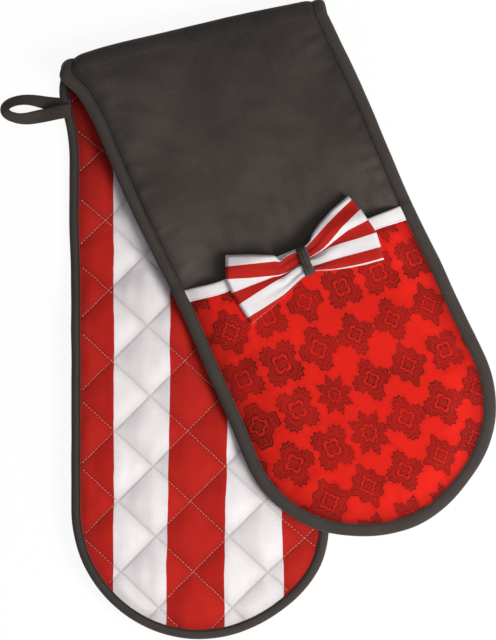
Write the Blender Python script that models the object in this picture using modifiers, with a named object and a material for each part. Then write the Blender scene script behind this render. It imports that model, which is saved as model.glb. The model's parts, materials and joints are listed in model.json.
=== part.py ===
"""A double oven glove: one quilted strip, folded over once, with a hand pocket at each end.

Run it with blender --background --python part.py, or from Blender's text editor.

World axes: the glove lies on the plane z = 0, X is to the right and Y runs up the rear half,
from the centre of its round end to the crease. The origin is under the centre of that round end.
Each half is modelled in a frame of its own, whose origin is the middle of the crease, on the
fold's axis: there the strip runs along -Y and its quilted face looks up. Depths count from the
quilted face's highest points towards the outer face. Insets count from the strip's outer edge
inwards.
"""

import math

import bmesh
import bpy

MM = 0.001

# Strip
STRIP_WIDTH = 185.0 * MM
REAR_STRAIGHT = 338.2 * MM  # crease to the centre of the round end
FRONT_STRAIGHT = 291.0 * MM
FOLD_TILT = math.radians(12.4)  # the crease against a square fold
CLOTH_THICKNESS = 1.0 * MM
WADDING_LOFT = 2.4 * MM
LINING_LOFT = 3.7 * MM
QUILT_SINK = 2.2 * MM  # depth of the stitched channels
PLY_GAP = 0.3 * MM  # between plies that lie on each other

# Quilting: diamonds, measured from corner to corner
QUILT_ACROSS = 52.8 * MM
QUILT_ALONG = 50.8 * MM
QUILT_OFFSET_ACROSS = -7.0 * MM  # one corner, from the centre of the rear round end
QUILT_OFFSET_ALONG = 57.0 * MM
QUARTERS = 4  # mesh cells in a diamond, each way
PUFF_POWER = 0.5

# Binding tape round the edge
BINDING_THICKNESS = 0.9 * MM
BINDING_REACH = 8.0 * MM  # width on each face
BINDING_CHAMFER = 1.0 * MM
RIM_WIDTH = 8.7 * MM  # edge of the plies, pressed thin under the tape
RIM_RUN = 2.8 * MM  # from the rim to the full thickness
BINDING_STEP_RUN = 9.0 * MM  # where the tape widens to take the pocket in

# Hand pockets
HAND_SPACE = 4.8 * MM
POCKET_LINING_THICKNESS = 0.7 * MM
POCKET_WADDING_LOFT = 1.6 * MM
PRINT_THICKNESS = 0.8 * MM
POCKET_REACH = 123.9 * MM  # round end's centre to the mouth's edge
BAND_WIDTH = 7.0 * MM
MOUTH_SLOPE = 0.0467  # the front mouth against a square one
CROWN_RUN = 15.5 * MM  # from the rim's run to the pocket's flat middle
CROWN_RUN_SHARES = (0.25, 0.6, 1.0)
CROWN_RISE_SHARES = (0.5, 0.85, 1.0)
CROWN_START_SHARE = 0.2  # part of the rise already made over the rim's run
RAMP_CLEARANCE = 9.0 * MM  # from the mouth to where the strip comes down
RAMP_SHARES = (0.0, 0.16, 0.5, 0.84, 1.0)

# Bow
KNOT_LENGTH = 20.5 * MM
KNOT_WIDTH = 7.6 * MM
KNOT_HEIGHT = 9.5 * MM
KNOT_ROUNDING = 2.2 * MM
KNOT_ROUNDING_STEPS = 3
KNOT_ACROSS = -4.9 * MM  # place in the front half's frame
KNOT_FROM_END_CENTRE = 115.4 * MM
WING_ROOT_HALF = 8.6 * MM
WING_END_HALF = 25.0 * MM
WING_ROOT_HEIGHT = 5.6 * MM
WING_END_HEIGHT = 8.2 * MM
WING_FOLD = 1.1 * MM
WING_FOLDS = 3
WING_STRAIGHT_SHARE = 0.55  # how nearly straight the wing's long edges are
WING_EDGE_SHARE = 0.55  # height at the wing's long edges
WING_EDGE_POWER = 4  # how late the height falls towards them
WING_COLUMNS = 11
WING_ROWS = 19
LEFT_WING_LENGTH = 49.5 * MM
RIGHT_WING_LENGTH = 46.0 * MM
LEFT_WING_TURN = math.radians(-0.7)
RIGHT_WING_TURN = math.radians(7.4)

# Hanging loop
LOOP_LENGTH = 47.0 * MM
LOOP_TIP_RADIUS = 10.4 * MM
LOOP_ROOT_RADIUS = 6.2 * MM
LOOP_TAPE_WIDTH = 9.8 * MM
LOOP_TAPE_THICKNESS = 1.6 * MM
LOOP_TAPE_LEAN = math.radians(42.0)
LOOP_FROM_CREASE = 45.0 * MM
LOOP_TURN = math.radians(10.8)
LOOP_LIFT = 0.3 * MM  # its tape over the table
LOOP_ARC_STEPS = 12

# Mesh steps
ARC_STEPS = 22
FOLD_STEPS = 12
OVERRUN = 5.0 * MM  # of every cutter past what it cuts
WELD = 0.01 * MM
SAME_PLANE = math.radians(0.05)

# Depths of the plies, worked out from the sizes above
WADDING_TOP = LINING_LOFT + PLY_GAP
OUTER_TOP = WADDING_TOP + WADDING_LOFT + PLY_GAP
STRIP_DEPTH = OUTER_TOP + CLOTH_THICKNESS
RIM_STEP = BINDING_THICKNESS + PLY_GAP
RIM_REBATE = PLY_GAP + RIM_STEP
PANEL_TOP = STRIP_DEPTH + HAND_SPACE
PRINT_TOP = PANEL_TOP + POCKET_LINING_THICKNESS + PLY_GAP + POCKET_WADDING_LOFT + PLY_GAP
POCKET_DEPTH = PRINT_TOP + PRINT_THICKNESS
PANEL_RIM_TOP = STRIP_DEPTH - RIM_STEP + PLY_GAP
PRINT_RIM_TOP = PANEL_RIM_TOP + POCKET_LINING_THICKNESS + PLY_GAP
PANEL_RIM_BASE = PRINT_RIM_TOP + PRINT_THICKNESS

# Fold and plan, worked out from the sizes above
END_RADIUS = STRIP_WIDTH / 2
POCKET_RISE = POCKET_DEPTH - STRIP_DEPTH
INNER_RADIUS = (POCKET_RISE + PLY_GAP) / 2
CREASE_HEIGHT = INNER_RADIUS + STRIP_DEPTH
CREASE_SLOPE = math.tan(FOLD_TILT)
SIDE_CLEARANCE = BINDING_THICKNESS + PLY_GAP
CROWN_START = RIM_WIDTH + RIM_RUN
QUARTER_ACROSS = QUILT_ACROSS / QUARTERS
QUARTER_ALONG = QUILT_ALONG / QUARTERS
STRIP_RUN = REAR_STRAIGHT + math.pi * INNER_RADIUS + FRONT_STRAIGHT  # between the round ends' centres
QUILT_RUN_ON = (STRIP_RUN - QUILT_OFFSET_ALONG) % QUILT_ALONG  # the quilting, met from the front end
MOUTH_FROM_CENTRE = POCKET_REACH - BAND_WIDTH
LOOP_TAPE_REACH = (
    LOOP_TAPE_WIDTH / 2 * math.sin(LOOP_TAPE_LEAN) + LOOP_TAPE_THICKNESS / 2 * math.cos(LOOP_TAPE_LEAN)
)

CHARCOAL = (0.045, 0.042, 0.040, 1.0)
TAPE_CHARCOAL = (0.030, 0.030, 0.031, 1.0)
BRIGHT_RED = (0.70, 0.015, 0.010, 1.0)
STRIPE_RED = (0.50, 0.020, 0.015, 1.0)
WHITE = (0.85, 0.85, 0.86, 1.0)
WADDING_CREAM = (0.78, 0.75, 0.68, 1.0)


def material(name, colour, roughness):
    """One cloth's plain material."""
    made = bpy.data.materials.new(name)
    made.use_nodes = True
    shader = made.node_tree.nodes["Principled BSDF"]
    shader.inputs["Base Color"].default_value = colour
    shader.inputs["Roughness"].default_value = roughness
    shader.inputs["Metallic"].default_value = 0.0
    made.diffuse_color = colour
    return made


def empty(name, location, rotation, parent=None):
    """A frame that pieces are placed by."""
    frame = bpy.data.objects.new(name, None)
    bpy.context.scene.collection.objects.link(frame)
    frame.parent = parent
    frame.location = location
    frame.rotation_euler = rotation
    return frame


def solid(name, mesh, frame, group):
    """An object made of a mesh, in its frame and collection."""
    data = bpy.data.meshes.new(name)
    bmesh.ops.recalc_face_normals(mesh, faces=mesh.faces)
    mesh.to_mesh(data)
    mesh.free()
    made = bpy.data.objects.new(name, data)
    group.objects.link(made)
    made.parent = frame
    return made


def finish(name, mesh, frame, colour, roughness=0.9):
    """A sub-part with its own material."""
    piece = solid(name, mesh, frame, GLOVE)
    piece.data.materials.append(material(name, colour, roughness))
    return piece


def cutter(name, mesh, frame):
    """A solid that only cuts others."""
    tool = solid(name, mesh, frame, CUTTERS)
    tool.hide_render = True
    tool.display_type = "WIRE"
    return tool


def cut(piece, operation, tool):
    """A Boolean modifier that stays on the piece."""
    modifier = piece.modifiers.new(tool.name, "BOOLEAN")
    modifier.operation = operation
    modifier.solver = "EXACT"
    modifier.object = tool


def shares(rows):
    """The places of a number of grid lines, from 0 to 1."""
    return [index / (rows - 1) for index in range(rows)]


def line_at(place, cells):
    """The number of the grid line at a place from -1 to 1, in a grid of that many cells."""
    return round((place + 1.0) / 2.0 * cells)


def raised_verts(mesh):
    """Extrudes a flat mesh in place, for a slab, and gives the new corners."""
    made = bmesh.ops.extrude_face_region(mesh, geom=mesh.faces[:])["geom"]
    return {item for item in made if isinstance(item, bmesh.types.BMVert)}


class Half:
    """One half of the strip: its length, its mouth's slope, and the ramp that lifts it on its pocket.

    quilt is one corner of its quilting, from the centre of its round end.
    """

    def __init__(self, name, straight, mouth_slope, lifted, quilt, frame):
        self.name = name
        self.straight = straight
        self.mouth_slope = mouth_slope
        self.lifted = lifted
        self.quilt_across, self.quilt_along = quilt
        self.frame = frame
        clear = POCKET_REACH + RAMP_CLEARANCE - self.quilt_along
        first = math.ceil(clear / QUARTER_ALONG)
        self.ramp_rows = [
            self.quilt_along + (first + index) * QUARTER_ALONG - straight
            for index in range(len(RAMP_SHARES))
        ]

    def lift(self, y):
        """How far the pocket below raises the strip at y: nothing near the crease."""
        if not self.lifted:
            return 0.0
        rows = self.ramp_rows
        if y <= rows[0]:
            return POCKET_RISE
        for low, high, start, end in zip(rows, rows[1:], RAMP_SHARES, RAMP_SHARES[1:]):
            if y <= high:
                share = start + (end - start) * (y - low) / (high - low)
                return POCKET_RISE * (1.0 - share)
        return 0.0

    def height(self, depth, y):
        """z in the half's frame of a depth in the plies."""
        return self.lift(y) - INNER_RADIUS - depth

    def strip_rows(self, extra=()):
        """Rows across the strip, down from the crease: where each meets the middle, and its slope."""
        rows = [(-PLY_GAP, CREASE_SLOPE), (-STRIP_WIDTH * CREASE_SLOPE, 0.0)]
        if self.lifted:
            rows += [(y, 0.0) for y in self.ramp_rows]
        rows += list(extra)
        rows.append((-self.straight, 0.0))
        return sorted(rows, reverse=True)

    def pocket_rows(self):
        """Rows of the pocket's plies, from the band to the round end."""
        return [(MOUTH_FROM_CENTRE - PLY_GAP - self.straight, self.mouth_slope), (-self.straight, 0.0)]

    def plan(self, station, rows, inset):
        """x and y at an inset, for stations down the left side, round the end and up the right side."""
        last = len(rows) - 1
        radius = END_RADIUS - inset
        if station <= last:
            y, slope = rows[station]
            return -radius, y - slope * radius
        if station >= last + ARC_STEPS:
            y, slope = rows[2 * last + ARC_STEPS - station]
            return radius, y + slope * radius
        turn = math.pi * (station - last) / ARC_STEPS
        return -radius * math.cos(turn), -self.straight - radius * math.sin(turn)

    def sheet(self, rows, insets, upper, lower, closed=True):
        """A ply as a slab. insets run from the edge inwards; upper and lower give its depths at an inset.

        A closed sheet's last inset is the strip's middle line, where its two sides are welded.
        """
        stations = 2 * (len(rows) - 1) + ARC_STEPS + 1
        if closed:
            insets = list(insets) + [END_RADIUS]
        mesh = bmesh.new()
        bmesh.ops.create_grid(mesh, x_segments=stations - 1, y_segments=len(insets) - 1, size=1.0)
        ring = mesh.verts.layers.int.new("ring")
        for vertex in mesh.verts:
            station = line_at(vertex.co.x, stations - 1)
            vertex[ring] = line_at(vertex.co.y, len(insets) - 1)
            vertex.co = (*self.plan(station, rows, insets[vertex[ring]]), 0.0)
        bmesh.ops.remove_doubles(mesh, verts=mesh.verts, dist=WELD)
        raised = raised_verts(mesh)
        for vertex in mesh.verts:
            depth = upper if vertex in raised else lower
            vertex.co.z = self.height(depth(insets[vertex[ring]]), vertex.co.y)
        return mesh

    def swept(self, rows, section):
        """A closed section swept round the edge. section gives insets and depths at a station's y."""
        stations = 2 * (len(rows) - 1) + ARC_STEPS + 1
        points = len(section(0.0))
        mesh = bmesh.new()
        bmesh.ops.create_grid(mesh, x_segments=stations - 1, y_segments=points, size=1.0)
        for vertex in mesh.verts:
            station = line_at(vertex.co.x, stations - 1)
            index = line_at(vertex.co.y, points) % points
            row_y = rows[min(station, stations - 1 - station, len(rows) - 1)][0]
            inset, depth = section(row_y)[index]
            x, y = self.plan(station, rows, inset)
            vertex.co = (x, y, self.height(depth, y))
        bmesh.ops.remove_doubles(mesh, verts=mesh.verts, dist=WELD)
        ends = [edge for edge in mesh.edges if len(edge.link_faces) == 1]
        bmesh.ops.holes_fill(mesh, edges=ends, sides=0)
        return mesh


def rim_profile(rim, middle):
    """Depth of a ply: rim under the tape, middle past the rim's run."""
    return lambda inset: rim if inset <= RIM_WIDTH + WELD else middle


def crown_share(inset):
    """How far the pocket's panel has risen at an inset, from the rim to its flat middle."""
    places = [RIM_WIDTH, CROWN_START] + [CROWN_START + CROWN_RUN * share for share in CROWN_RUN_SHARES]
    rises = [0.0, CROWN_START_SHARE]
    rises += [CROWN_START_SHARE + (1.0 - CROWN_START_SHARE) * share for share in CROWN_RISE_SHARES]
    if inset <= places[0]:
        return 0.0
    for low, high, start, end in zip(places, places[1:], rises, rises[1:]):
        if inset <= high:
            return start + (end - start) * (inset - low) / (high - low)
    return 1.0


def crown_profile(rim, middle):
    """Depth of a pocket ply at an inset."""
    return lambda inset: rim + (middle - rim) * crown_share(inset)


def rim_insets():
    """Insets at which a ply of the strip bends near its edge."""
    return [SIDE_CLEARANCE, RIM_WIDTH, CROWN_START]


def crown_insets():
    """Insets at which a ply of the pocket bends."""
    return rim_insets() + [CROWN_START + CROWN_RUN * share for share in CROWN_RUN_SHARES]


def binding_section(outer_depth):
    """The tape's C section, as insets and depths, round a stack that ends at outer_depth."""
    inner = outer_depth - BINDING_THICKNESS
    return [
        (BINDING_REACH, PLY_GAP),
        (BINDING_CHAMFER, PLY_GAP),
        (0.0, PLY_GAP + BINDING_CHAMFER),
        (0.0, outer_depth - BINDING_CHAMFER),
        (BINDING_CHAMFER, outer_depth),
        (BINDING_REACH, outer_depth),
        (BINDING_REACH, inner),
        (BINDING_THICKNESS, inner),
        (BINDING_THICKNESS, PLY_GAP + BINDING_THICKNESS),
        (BINDING_REACH, PLY_GAP + BINDING_THICKNESS),
    ]


def puff(column, row):
    """Height share of the quilting at a mesh corner: 0 on a stitched line, 1 in a diamond's middle."""
    rising = math.sin(math.pi * (column + row) / QUARTERS)
    falling = math.sin(math.pi * (column - row) / QUARTERS)
    return abs(rising * falling) ** PUFF_POWER


def quilted_slab(half):
    """The quilted ply before its outline is cut; its grid's diagonals are the stitched lines."""
    top = half.plan(0, half.strip_rows(), 0.0)[1]
    reach = max(abs(top), STRIP_WIDTH * CREASE_SLOPE)
    first_column = math.floor((-END_RADIUS - half.quilt_across) / QUARTER_ACROSS)
    last_column = math.ceil((END_RADIUS - half.quilt_across) / QUARTER_ACROSS)
    first_row = math.floor((-END_RADIUS - half.quilt_along) / QUARTER_ALONG)
    last_row = math.ceil((half.straight + reach - half.quilt_along) / QUARTER_ALONG)
    columns = last_column - first_column
    rows = last_row - first_row
    mesh = bmesh.new()
    bmesh.ops.create_grid(mesh, x_segments=columns, y_segments=rows, size=1.0)
    column_of = mesh.verts.layers.int.new("column")
    row_of = mesh.verts.layers.int.new("row")
    for vertex in mesh.verts:
        vertex[column_of] = first_column + line_at(vertex.co.x, columns)
        vertex[row_of] = first_row + line_at(vertex.co.y, rows)
        vertex.co.x = half.quilt_across + vertex[column_of] * QUARTER_ACROSS
        vertex.co.y = half.quilt_along + vertex[row_of] * QUARTER_ALONG - half.straight
    raised = bmesh.ops.extrude_face_region(mesh, geom=mesh.faces[:])["geom"]
    top_verts = {item for item in raised if isinstance(item, bmesh.types.BMVert)}
    top_faces = [item for item in raised if isinstance(item, bmesh.types.BMFace)]
    for vertex in mesh.verts:
        depth = LINING_LOFT
        if vertex in top_verts:
            depth = QUILT_SINK * (1.0 - puff(vertex[column_of], vertex[row_of]))
        vertex.co.z = half.height(depth, vertex.co.y)
    split_on_channels(top_faces, column_of, row_of)
    mesh.normal_update()
    below = {face for face in mesh.faces if not top_verts & set(face.verts)}
    level = [
        edge
        for edge in mesh.edges
        if set(edge.link_faces) <= below and edge.calc_face_angle() < SAME_PLANE
    ]
    bmesh.ops.dissolve_edges(mesh, edges=level, use_verts=True)
    return mesh


def split_on_channels(faces, column_of, row_of):
    """Splits each square of the grid along the stitched line that crosses it."""
    for face in faces:
        corners = sorted(face.verts, key=lambda vertex: (vertex[column_of], vertex[row_of]))
        low, up, right, high = corners
        rising = (low[column_of] - low[row_of]) % QUARTERS == 0
        pair = (low, high) if rising else (up, right)
        bmesh.utils.face_split(face, *pair)


def outline_prism(half, rows):
    """The strip's plan inside the tape, as a tall prism."""
    stations = 2 * (len(rows) - 1) + ARC_STEPS + 1
    mesh = bmesh.new()
    base = -INNER_RADIUS - POCKET_DEPTH - OVERRUN
    corners = [
        mesh.verts.new((*half.plan(station, rows, SIDE_CLEARANCE), base)) for station in range(stations)
    ]
    mesh.faces.new(corners)
    rise = (0.0, 0.0, POCKET_RISE + OVERRUN - base)
    bmesh.ops.translate(mesh, vec=rise, verts=list(raised_verts(mesh)))
    return mesh


def build_strip(half):
    """Outer cloth, wadding, quilted lining and binding of one half."""
    rows = half.strip_rows()
    outer = half.sheet(
        rows,
        rim_insets(),
        rim_profile(OUTER_TOP - RIM_STEP, OUTER_TOP),
        rim_profile(STRIP_DEPTH - RIM_STEP, STRIP_DEPTH),
    )
    finish(half.name + "_outer_cloth", outer, half.frame, CHARCOAL, 0.85)
    wadding = half.sheet(
        rows,
        rim_insets(),
        rim_profile(WADDING_TOP, WADDING_TOP),
        rim_profile(OUTER_TOP - RIM_STEP - PLY_GAP, OUTER_TOP - PLY_GAP),
    )
    finish(half.name + "_wadding", wadding, half.frame, WADDING_CREAM, 1.0)
    lining = finish(half.name + "_quilted_lining", quilted_slab(half), half.frame, STRIPE_RED)
    cut(lining, "INTERSECT", cutter(half.name + "_outline", outline_prism(half, rows), half.frame))
    rebate_rows = [(rows[0][0] + OVERRUN, CREASE_SLOPE)] + rows[1:]
    rebate = half.sheet(
        rebate_rows,
        [-OVERRUN, RIM_WIDTH],
        lambda inset: -OVERRUN,
        lambda inset: RIM_REBATE,
        closed=False,
    )
    cut(lining, "DIFFERENCE", cutter(half.name + "_rim", rebate, half.frame))
    finish(half.name + "_binding", build_binding(half), half.frame, TAPE_CHARCOAL)


def build_binding(half):
    """The tape round one half, wider where it also takes the pocket in."""
    mouth = POCKET_REACH + PLY_GAP - half.straight
    step_rows = [(mouth, half.mouth_slope), (mouth + BINDING_STEP_RUN, half.mouth_slope)]
    if half.lifted:
        step_rows = step_rows[:1]
        step_end = half.ramp_rows[0]
    else:
        step_end = mouth + BINDING_STEP_RUN
    rows = half.strip_rows(step_rows)

    def section(y):
        taken_in = y < (mouth + step_end) / 2
        return binding_section(PANEL_RIM_BASE + RIM_STEP if taken_in else STRIP_DEPTH)

    return half.swept(rows, section)


def build_pocket(half):
    """The panel over the hand: lining, wadding, printed cloth, and the band along the mouth."""
    rows = half.pocket_rows()
    lining_base = crown_profile(PANEL_RIM_TOP + POCKET_LINING_THICKNESS, PANEL_TOP + POCKET_LINING_THICKNESS)
    print_top = crown_profile(PRINT_RIM_TOP, PRINT_TOP)
    lining = half.sheet(rows, crown_insets(), crown_profile(PANEL_RIM_TOP, PANEL_TOP), lining_base)
    finish(half.name + "_pocket_lining", lining, half.frame, WHITE)
    wadding = half.sheet(
        rows,
        crown_insets()[len(rim_insets()):],
        lambda inset: lining_base(inset) + PLY_GAP,
        lambda inset: print_top(inset) - PLY_GAP,
    )
    finish(half.name + "_pocket_wadding", wadding, half.frame, WADDING_CREAM, 1.0)
    printed = half.sheet(rows, crown_insets(), print_top, crown_profile(PANEL_RIM_BASE, POCKET_DEPTH))
    finish(half.name + "_pocket_print_cloth", printed, half.frame, BRIGHT_RED, 0.75)
    finish(half.name + "_mouth_band", build_band(half), half.frame, WHITE)


def build_band(half):
    """The white tape along the mouth, as thick as the panel that it finishes."""
    insets = crown_insets()
    across = [inset - END_RADIUS for inset in insets] + [END_RADIUS - inset for inset in reversed(insets)]
    lows = [MOUTH_FROM_CENTRE, POCKET_REACH]
    mesh = bmesh.new()
    bmesh.ops.create_grid(mesh, x_segments=len(across) - 1, y_segments=1, size=1.0)
    for vertex in mesh.verts:
        vertex.co.x = across[line_at(vertex.co.x, len(across) - 1)]
        middle = lows[line_at(vertex.co.y, 1)] - half.straight
        vertex.co.y = middle + half.mouth_slope * vertex.co.x
    raised = raised_verts(mesh)
    upper = crown_profile(PANEL_RIM_TOP, PANEL_TOP)
    lower = crown_profile(PANEL_RIM_BASE, POCKET_DEPTH)
    for vertex in mesh.verts:
        depth = upper if vertex in raised else lower
        vertex.co.z = half.height(depth(END_RADIUS - abs(vertex.co.x)), vertex.co.y)
    return mesh


def turned(section, side=1):
    """A closed section, as insets and depths, turned half a circle round the crease.

    side is 1 where the insets count from the crease's right end, and -1 where they count from its left.
    """
    along = [(side * (END_RADIUS - inset) / math.cos(FOLD_TILT), depth) for inset, depth in section]
    mesh = bmesh.new()
    corners = [mesh.verts.new((x, 0.0, -INNER_RADIUS - depth)) for x, depth in along]
    edges = [mesh.edges.new((corners[index - 1], corners[index])) for index in range(len(corners))]
    bmesh.ops.spin(
        mesh,
        geom=corners + edges,
        cent=(0.0, 0.0, 0.0),
        axis=(1.0, 0.0, 0.0),
        dvec=(0.0, 0.0, 0.0),
        angle=math.pi,
        steps=FOLD_STEPS,
        use_duplicate=False,
    )
    ends = [edge for edge in mesh.edges if len(edge.link_faces) == 1]
    bmesh.ops.holes_fill(mesh, edges=ends, sides=0)
    return mesh


def ply_section(insets, upper, lower):
    """Both faces of a ply from end to end of the crease, as one closed section."""
    far = [STRIP_WIDTH - inset for inset in insets]
    tops = [(inset, upper(inset)) for inset in insets]
    tops += [(inset, upper(STRIP_WIDTH - inset)) for inset in reversed(far)]
    bases = [(inset, lower(inset)) for inset in insets]
    bases += [(inset, lower(STRIP_WIDTH - inset)) for inset in reversed(far)]
    return tops + bases[::-1]


def build_fold(frame):
    """The stretch of the strip that goes round the crease, with the tape at both its ends."""
    insets = rim_insets()
    lining = ply_section(
        insets,
        rim_profile(RIM_REBATE, QUILT_SINK / 2),
        rim_profile(LINING_LOFT, LINING_LOFT),
    )
    finish("fold_lining", turned(lining), frame, STRIPE_RED)
    wadding = ply_section(
        insets,
        rim_profile(WADDING_TOP, WADDING_TOP),
        rim_profile(OUTER_TOP - RIM_STEP - PLY_GAP, OUTER_TOP - PLY_GAP),
    )
    finish("fold_wadding", turned(wadding), frame, WADDING_CREAM, 1.0)
    outer = ply_section(
        insets,
        rim_profile(OUTER_TOP - RIM_STEP, OUTER_TOP),
        rim_profile(STRIP_DEPTH - RIM_STEP, STRIP_DEPTH),
    )
    finish("fold_outer_cloth", turned(outer), frame, CHARCOAL, 0.85)
    for name, side in (("fold_binding_left", -1), ("fold_binding_right", 1)):
        finish(name, turned(binding_section(STRIP_DEPTH), side), frame, TAPE_CHARCOAL)


def build_wing(name, length, frame):
    """One side of the bow: a flattened loop of cloth, gathered at the knot, with folds that fan out from it.

    Its frame's origin is on the hinge line, at the top of the gathered end.
    """
    mesh = bmesh.new()
    bmesh.ops.create_grid(mesh, x_segments=WING_COLUMNS - 1, y_segments=WING_ROWS - 1, size=1.0)
    raised = raised_verts(mesh)
    for vertex in mesh.verts:
        along, across = (vertex.co.x + 1.0) / 2.0, vertex.co.y
        spread = math.sin(along * math.pi / 2)
        widened = WING_STRAIGHT_SHARE * along + (1.0 - WING_STRAIGHT_SHARE) * spread
        half_width = WING_ROOT_HALF + (WING_END_HALF - WING_ROOT_HALF) * widened
        height = WING_ROOT_HEIGHT - WING_FOLD + (WING_END_HEIGHT - WING_ROOT_HEIGHT) * spread
        fall = across**WING_EDGE_POWER
        edge = 1.0 - (1.0 - WING_EDGE_SHARE) * fall
        fold = WING_FOLD * math.cos(math.pi * WING_FOLDS * across) * (1.0 - fall)
        top = height * edge + fold if vertex in raised else 0.0
        vertex.co = (length * along, half_width * across, top - WING_ROOT_HEIGHT)
    piece = finish(name, mesh, frame, STRIPE_RED)
    piece.data.shade_smooth()
    return piece


def build_bow(front):
    """The knot and its two wings, on the front pocket's mouth."""
    y = KNOT_FROM_END_CENTRE - front.straight
    z = -INNER_RADIUS - POCKET_DEPTH - PLY_GAP
    tilt = math.atan(front.mouth_slope)
    bow = empty("bow_frame", (KNOT_ACROSS, y, z), (0.0, math.pi, tilt), front.frame)
    mesh = bmesh.new()
    bmesh.ops.create_cube(mesh, size=1.0)
    bmesh.ops.scale(mesh, vec=(KNOT_WIDTH, KNOT_LENGTH, KNOT_HEIGHT), verts=mesh.verts)
    bmesh.ops.translate(mesh, vec=(0.0, 0.0, KNOT_HEIGHT / 2), verts=mesh.verts)
    knot = finish("bow_knot", mesh, bow, TAPE_CHARCOAL)
    rounding = knot.modifiers.new("rounding", "BEVEL")
    rounding.width = KNOT_ROUNDING
    rounding.segments = KNOT_ROUNDING_STEPS
    side = KNOT_WIDTH / 2 + PLY_GAP
    wings = (
        ("bow_wing_left", LEFT_WING_LENGTH, -side, math.pi + LEFT_WING_TURN),
        ("bow_wing_right", RIGHT_WING_LENGTH, side, RIGHT_WING_TURN),
    )
    for name, length, x, turn in wings:
        back = WING_ROOT_HALF * abs(math.sin(turn))
        x += math.copysign(back, x)
        hinge = empty(name + "_hinge", (x, 0.0, WING_ROOT_HEIGHT), (0.0, 0.0, turn), bow)
        build_wing(name, length, hinge)


def loop_path():
    """The middle line of the loop's tape, wide at the tip: points and directions out."""
    root_x = LOOP_ROOT_RADIUS + LOOP_TAPE_REACH
    tip_x = LOOP_LENGTH - LOOP_TIP_RADIUS - LOOP_TAPE_REACH
    opening = math.acos((LOOP_ROOT_RADIUS - LOOP_TIP_RADIUS) / (tip_x - root_x))
    points = []
    for share in shares(LOOP_ARC_STEPS + 1):
        turn = -opening + 2 * opening * share
        out = (math.cos(turn), math.sin(turn))
        points.append((tip_x + LOOP_TIP_RADIUS * out[0], LOOP_TIP_RADIUS * out[1], out))
    for share in shares(LOOP_ARC_STEPS + 1):
        turn = opening + 2 * (math.pi - opening) * share
        out = (math.cos(turn), math.sin(turn))
        points.append((root_x + LOOP_ROOT_RADIUS * out[0], LOOP_ROOT_RADIUS * out[1], out))
    return points


def build_loop(rear):
    """The hanging loop: a band of tape, leaning outwards at its foot, that lies on the table."""
    height = LOOP_TAPE_WIDTH * math.cos(LOOP_TAPE_LEAN) + LOOP_TAPE_THICKNESS * math.sin(LOOP_TAPE_LEAN)
    top = LOOP_LIFT + height
    turned_back = (LOOP_ROOT_RADIUS + LOOP_TAPE_REACH) * (1.0 - math.cos(LOOP_TURN))
    place = (-END_RADIUS - PLY_GAP - turned_back, -LOOP_FROM_CREASE, top - CREASE_HEIGHT)
    frame = empty("hanging_loop_hinge", place, (0.0, 0.0, math.pi + LOOP_TURN), rear.frame)
    points = loop_path()
    corners = ((-0.5, -0.5), (0.5, -0.5), (0.5, 0.5), (-0.5, 0.5))
    mesh = bmesh.new()
    bmesh.ops.create_grid(mesh, x_segments=len(points), y_segments=len(corners), size=1.0)
    for vertex in mesh.verts:
        index = line_at(vertex.co.x, len(points)) % len(points)
        corner = corners[line_at(vertex.co.y, len(corners)) % len(corners)]
        x, y, out = points[index]
        thick = corner[0] * LOOP_TAPE_THICKNESS
        wide = corner[1] * LOOP_TAPE_WIDTH
        away = thick * math.cos(LOOP_TAPE_LEAN) - wide * math.sin(LOOP_TAPE_LEAN)
        up = thick * math.sin(LOOP_TAPE_LEAN) + wide * math.cos(LOOP_TAPE_LEAN)
        vertex.co = (x + away * out[0], y + away * out[1], up - height / 2)
    bmesh.ops.remove_doubles(mesh, verts=mesh.verts, dist=WELD)
    finish("hanging_loop", mesh, frame, TAPE_CHARCOAL)


def build_glove():
    """Places the frames and builds every piece in them."""
    crease = (0.0, REAR_STRAIGHT, CREASE_HEIGHT)
    rear_frame = empty("rear_half_frame", crease, (0.0, 0.0, 0.0))
    front_frame = empty("front_half_frame", crease, (math.pi, 0.0, math.pi + 2 * FOLD_TILT))
    fold_frame = empty("fold_frame", crease, (0.0, 0.0, FOLD_TILT))
    rear_quilt = (QUILT_OFFSET_ACROSS, QUILT_OFFSET_ALONG)
    front_quilt = (-QUILT_OFFSET_ACROSS, QUILT_RUN_ON)
    rear = Half("rear", REAR_STRAIGHT, 0.0, True, rear_quilt, rear_frame)
    front = Half("front", FRONT_STRAIGHT, MOUTH_SLOPE, False, front_quilt, front_frame)
    for half in (rear, front):
        build_strip(half)
        build_pocket(half)
    build_fold(fold_frame)
    build_bow(front)
    build_loop(rear)


for old in list(bpy.data.objects):
    bpy.data.objects.remove(old, do_unlink=True)
GLOVE = bpy.data.collections.new("double_oven_glove")
CUTTERS = bpy.data.collections.new("cutters")
bpy.context.scene.collection.children.link(GLOVE)
bpy.context.scene.collection.children.link(CUTTERS)
build_glove()
bpy.context.view_layer.update()
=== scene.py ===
# %% [markdown]
# # A double oven glove
# The glove is one padded strip, folded over once, with a hand pocket at each end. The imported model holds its
# plain solids and its hinges. This script dresses them: every cloth, tape and thread gets its own mesh, made
# where its solid lies, and then its own material.

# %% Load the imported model
import json
import math
from functools import partial

import bmesh
import bpy
import numpy as np
from mathutils import Euler, Matrix, Vector, noise
from mathutils.bvhtree import BVHTree

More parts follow.
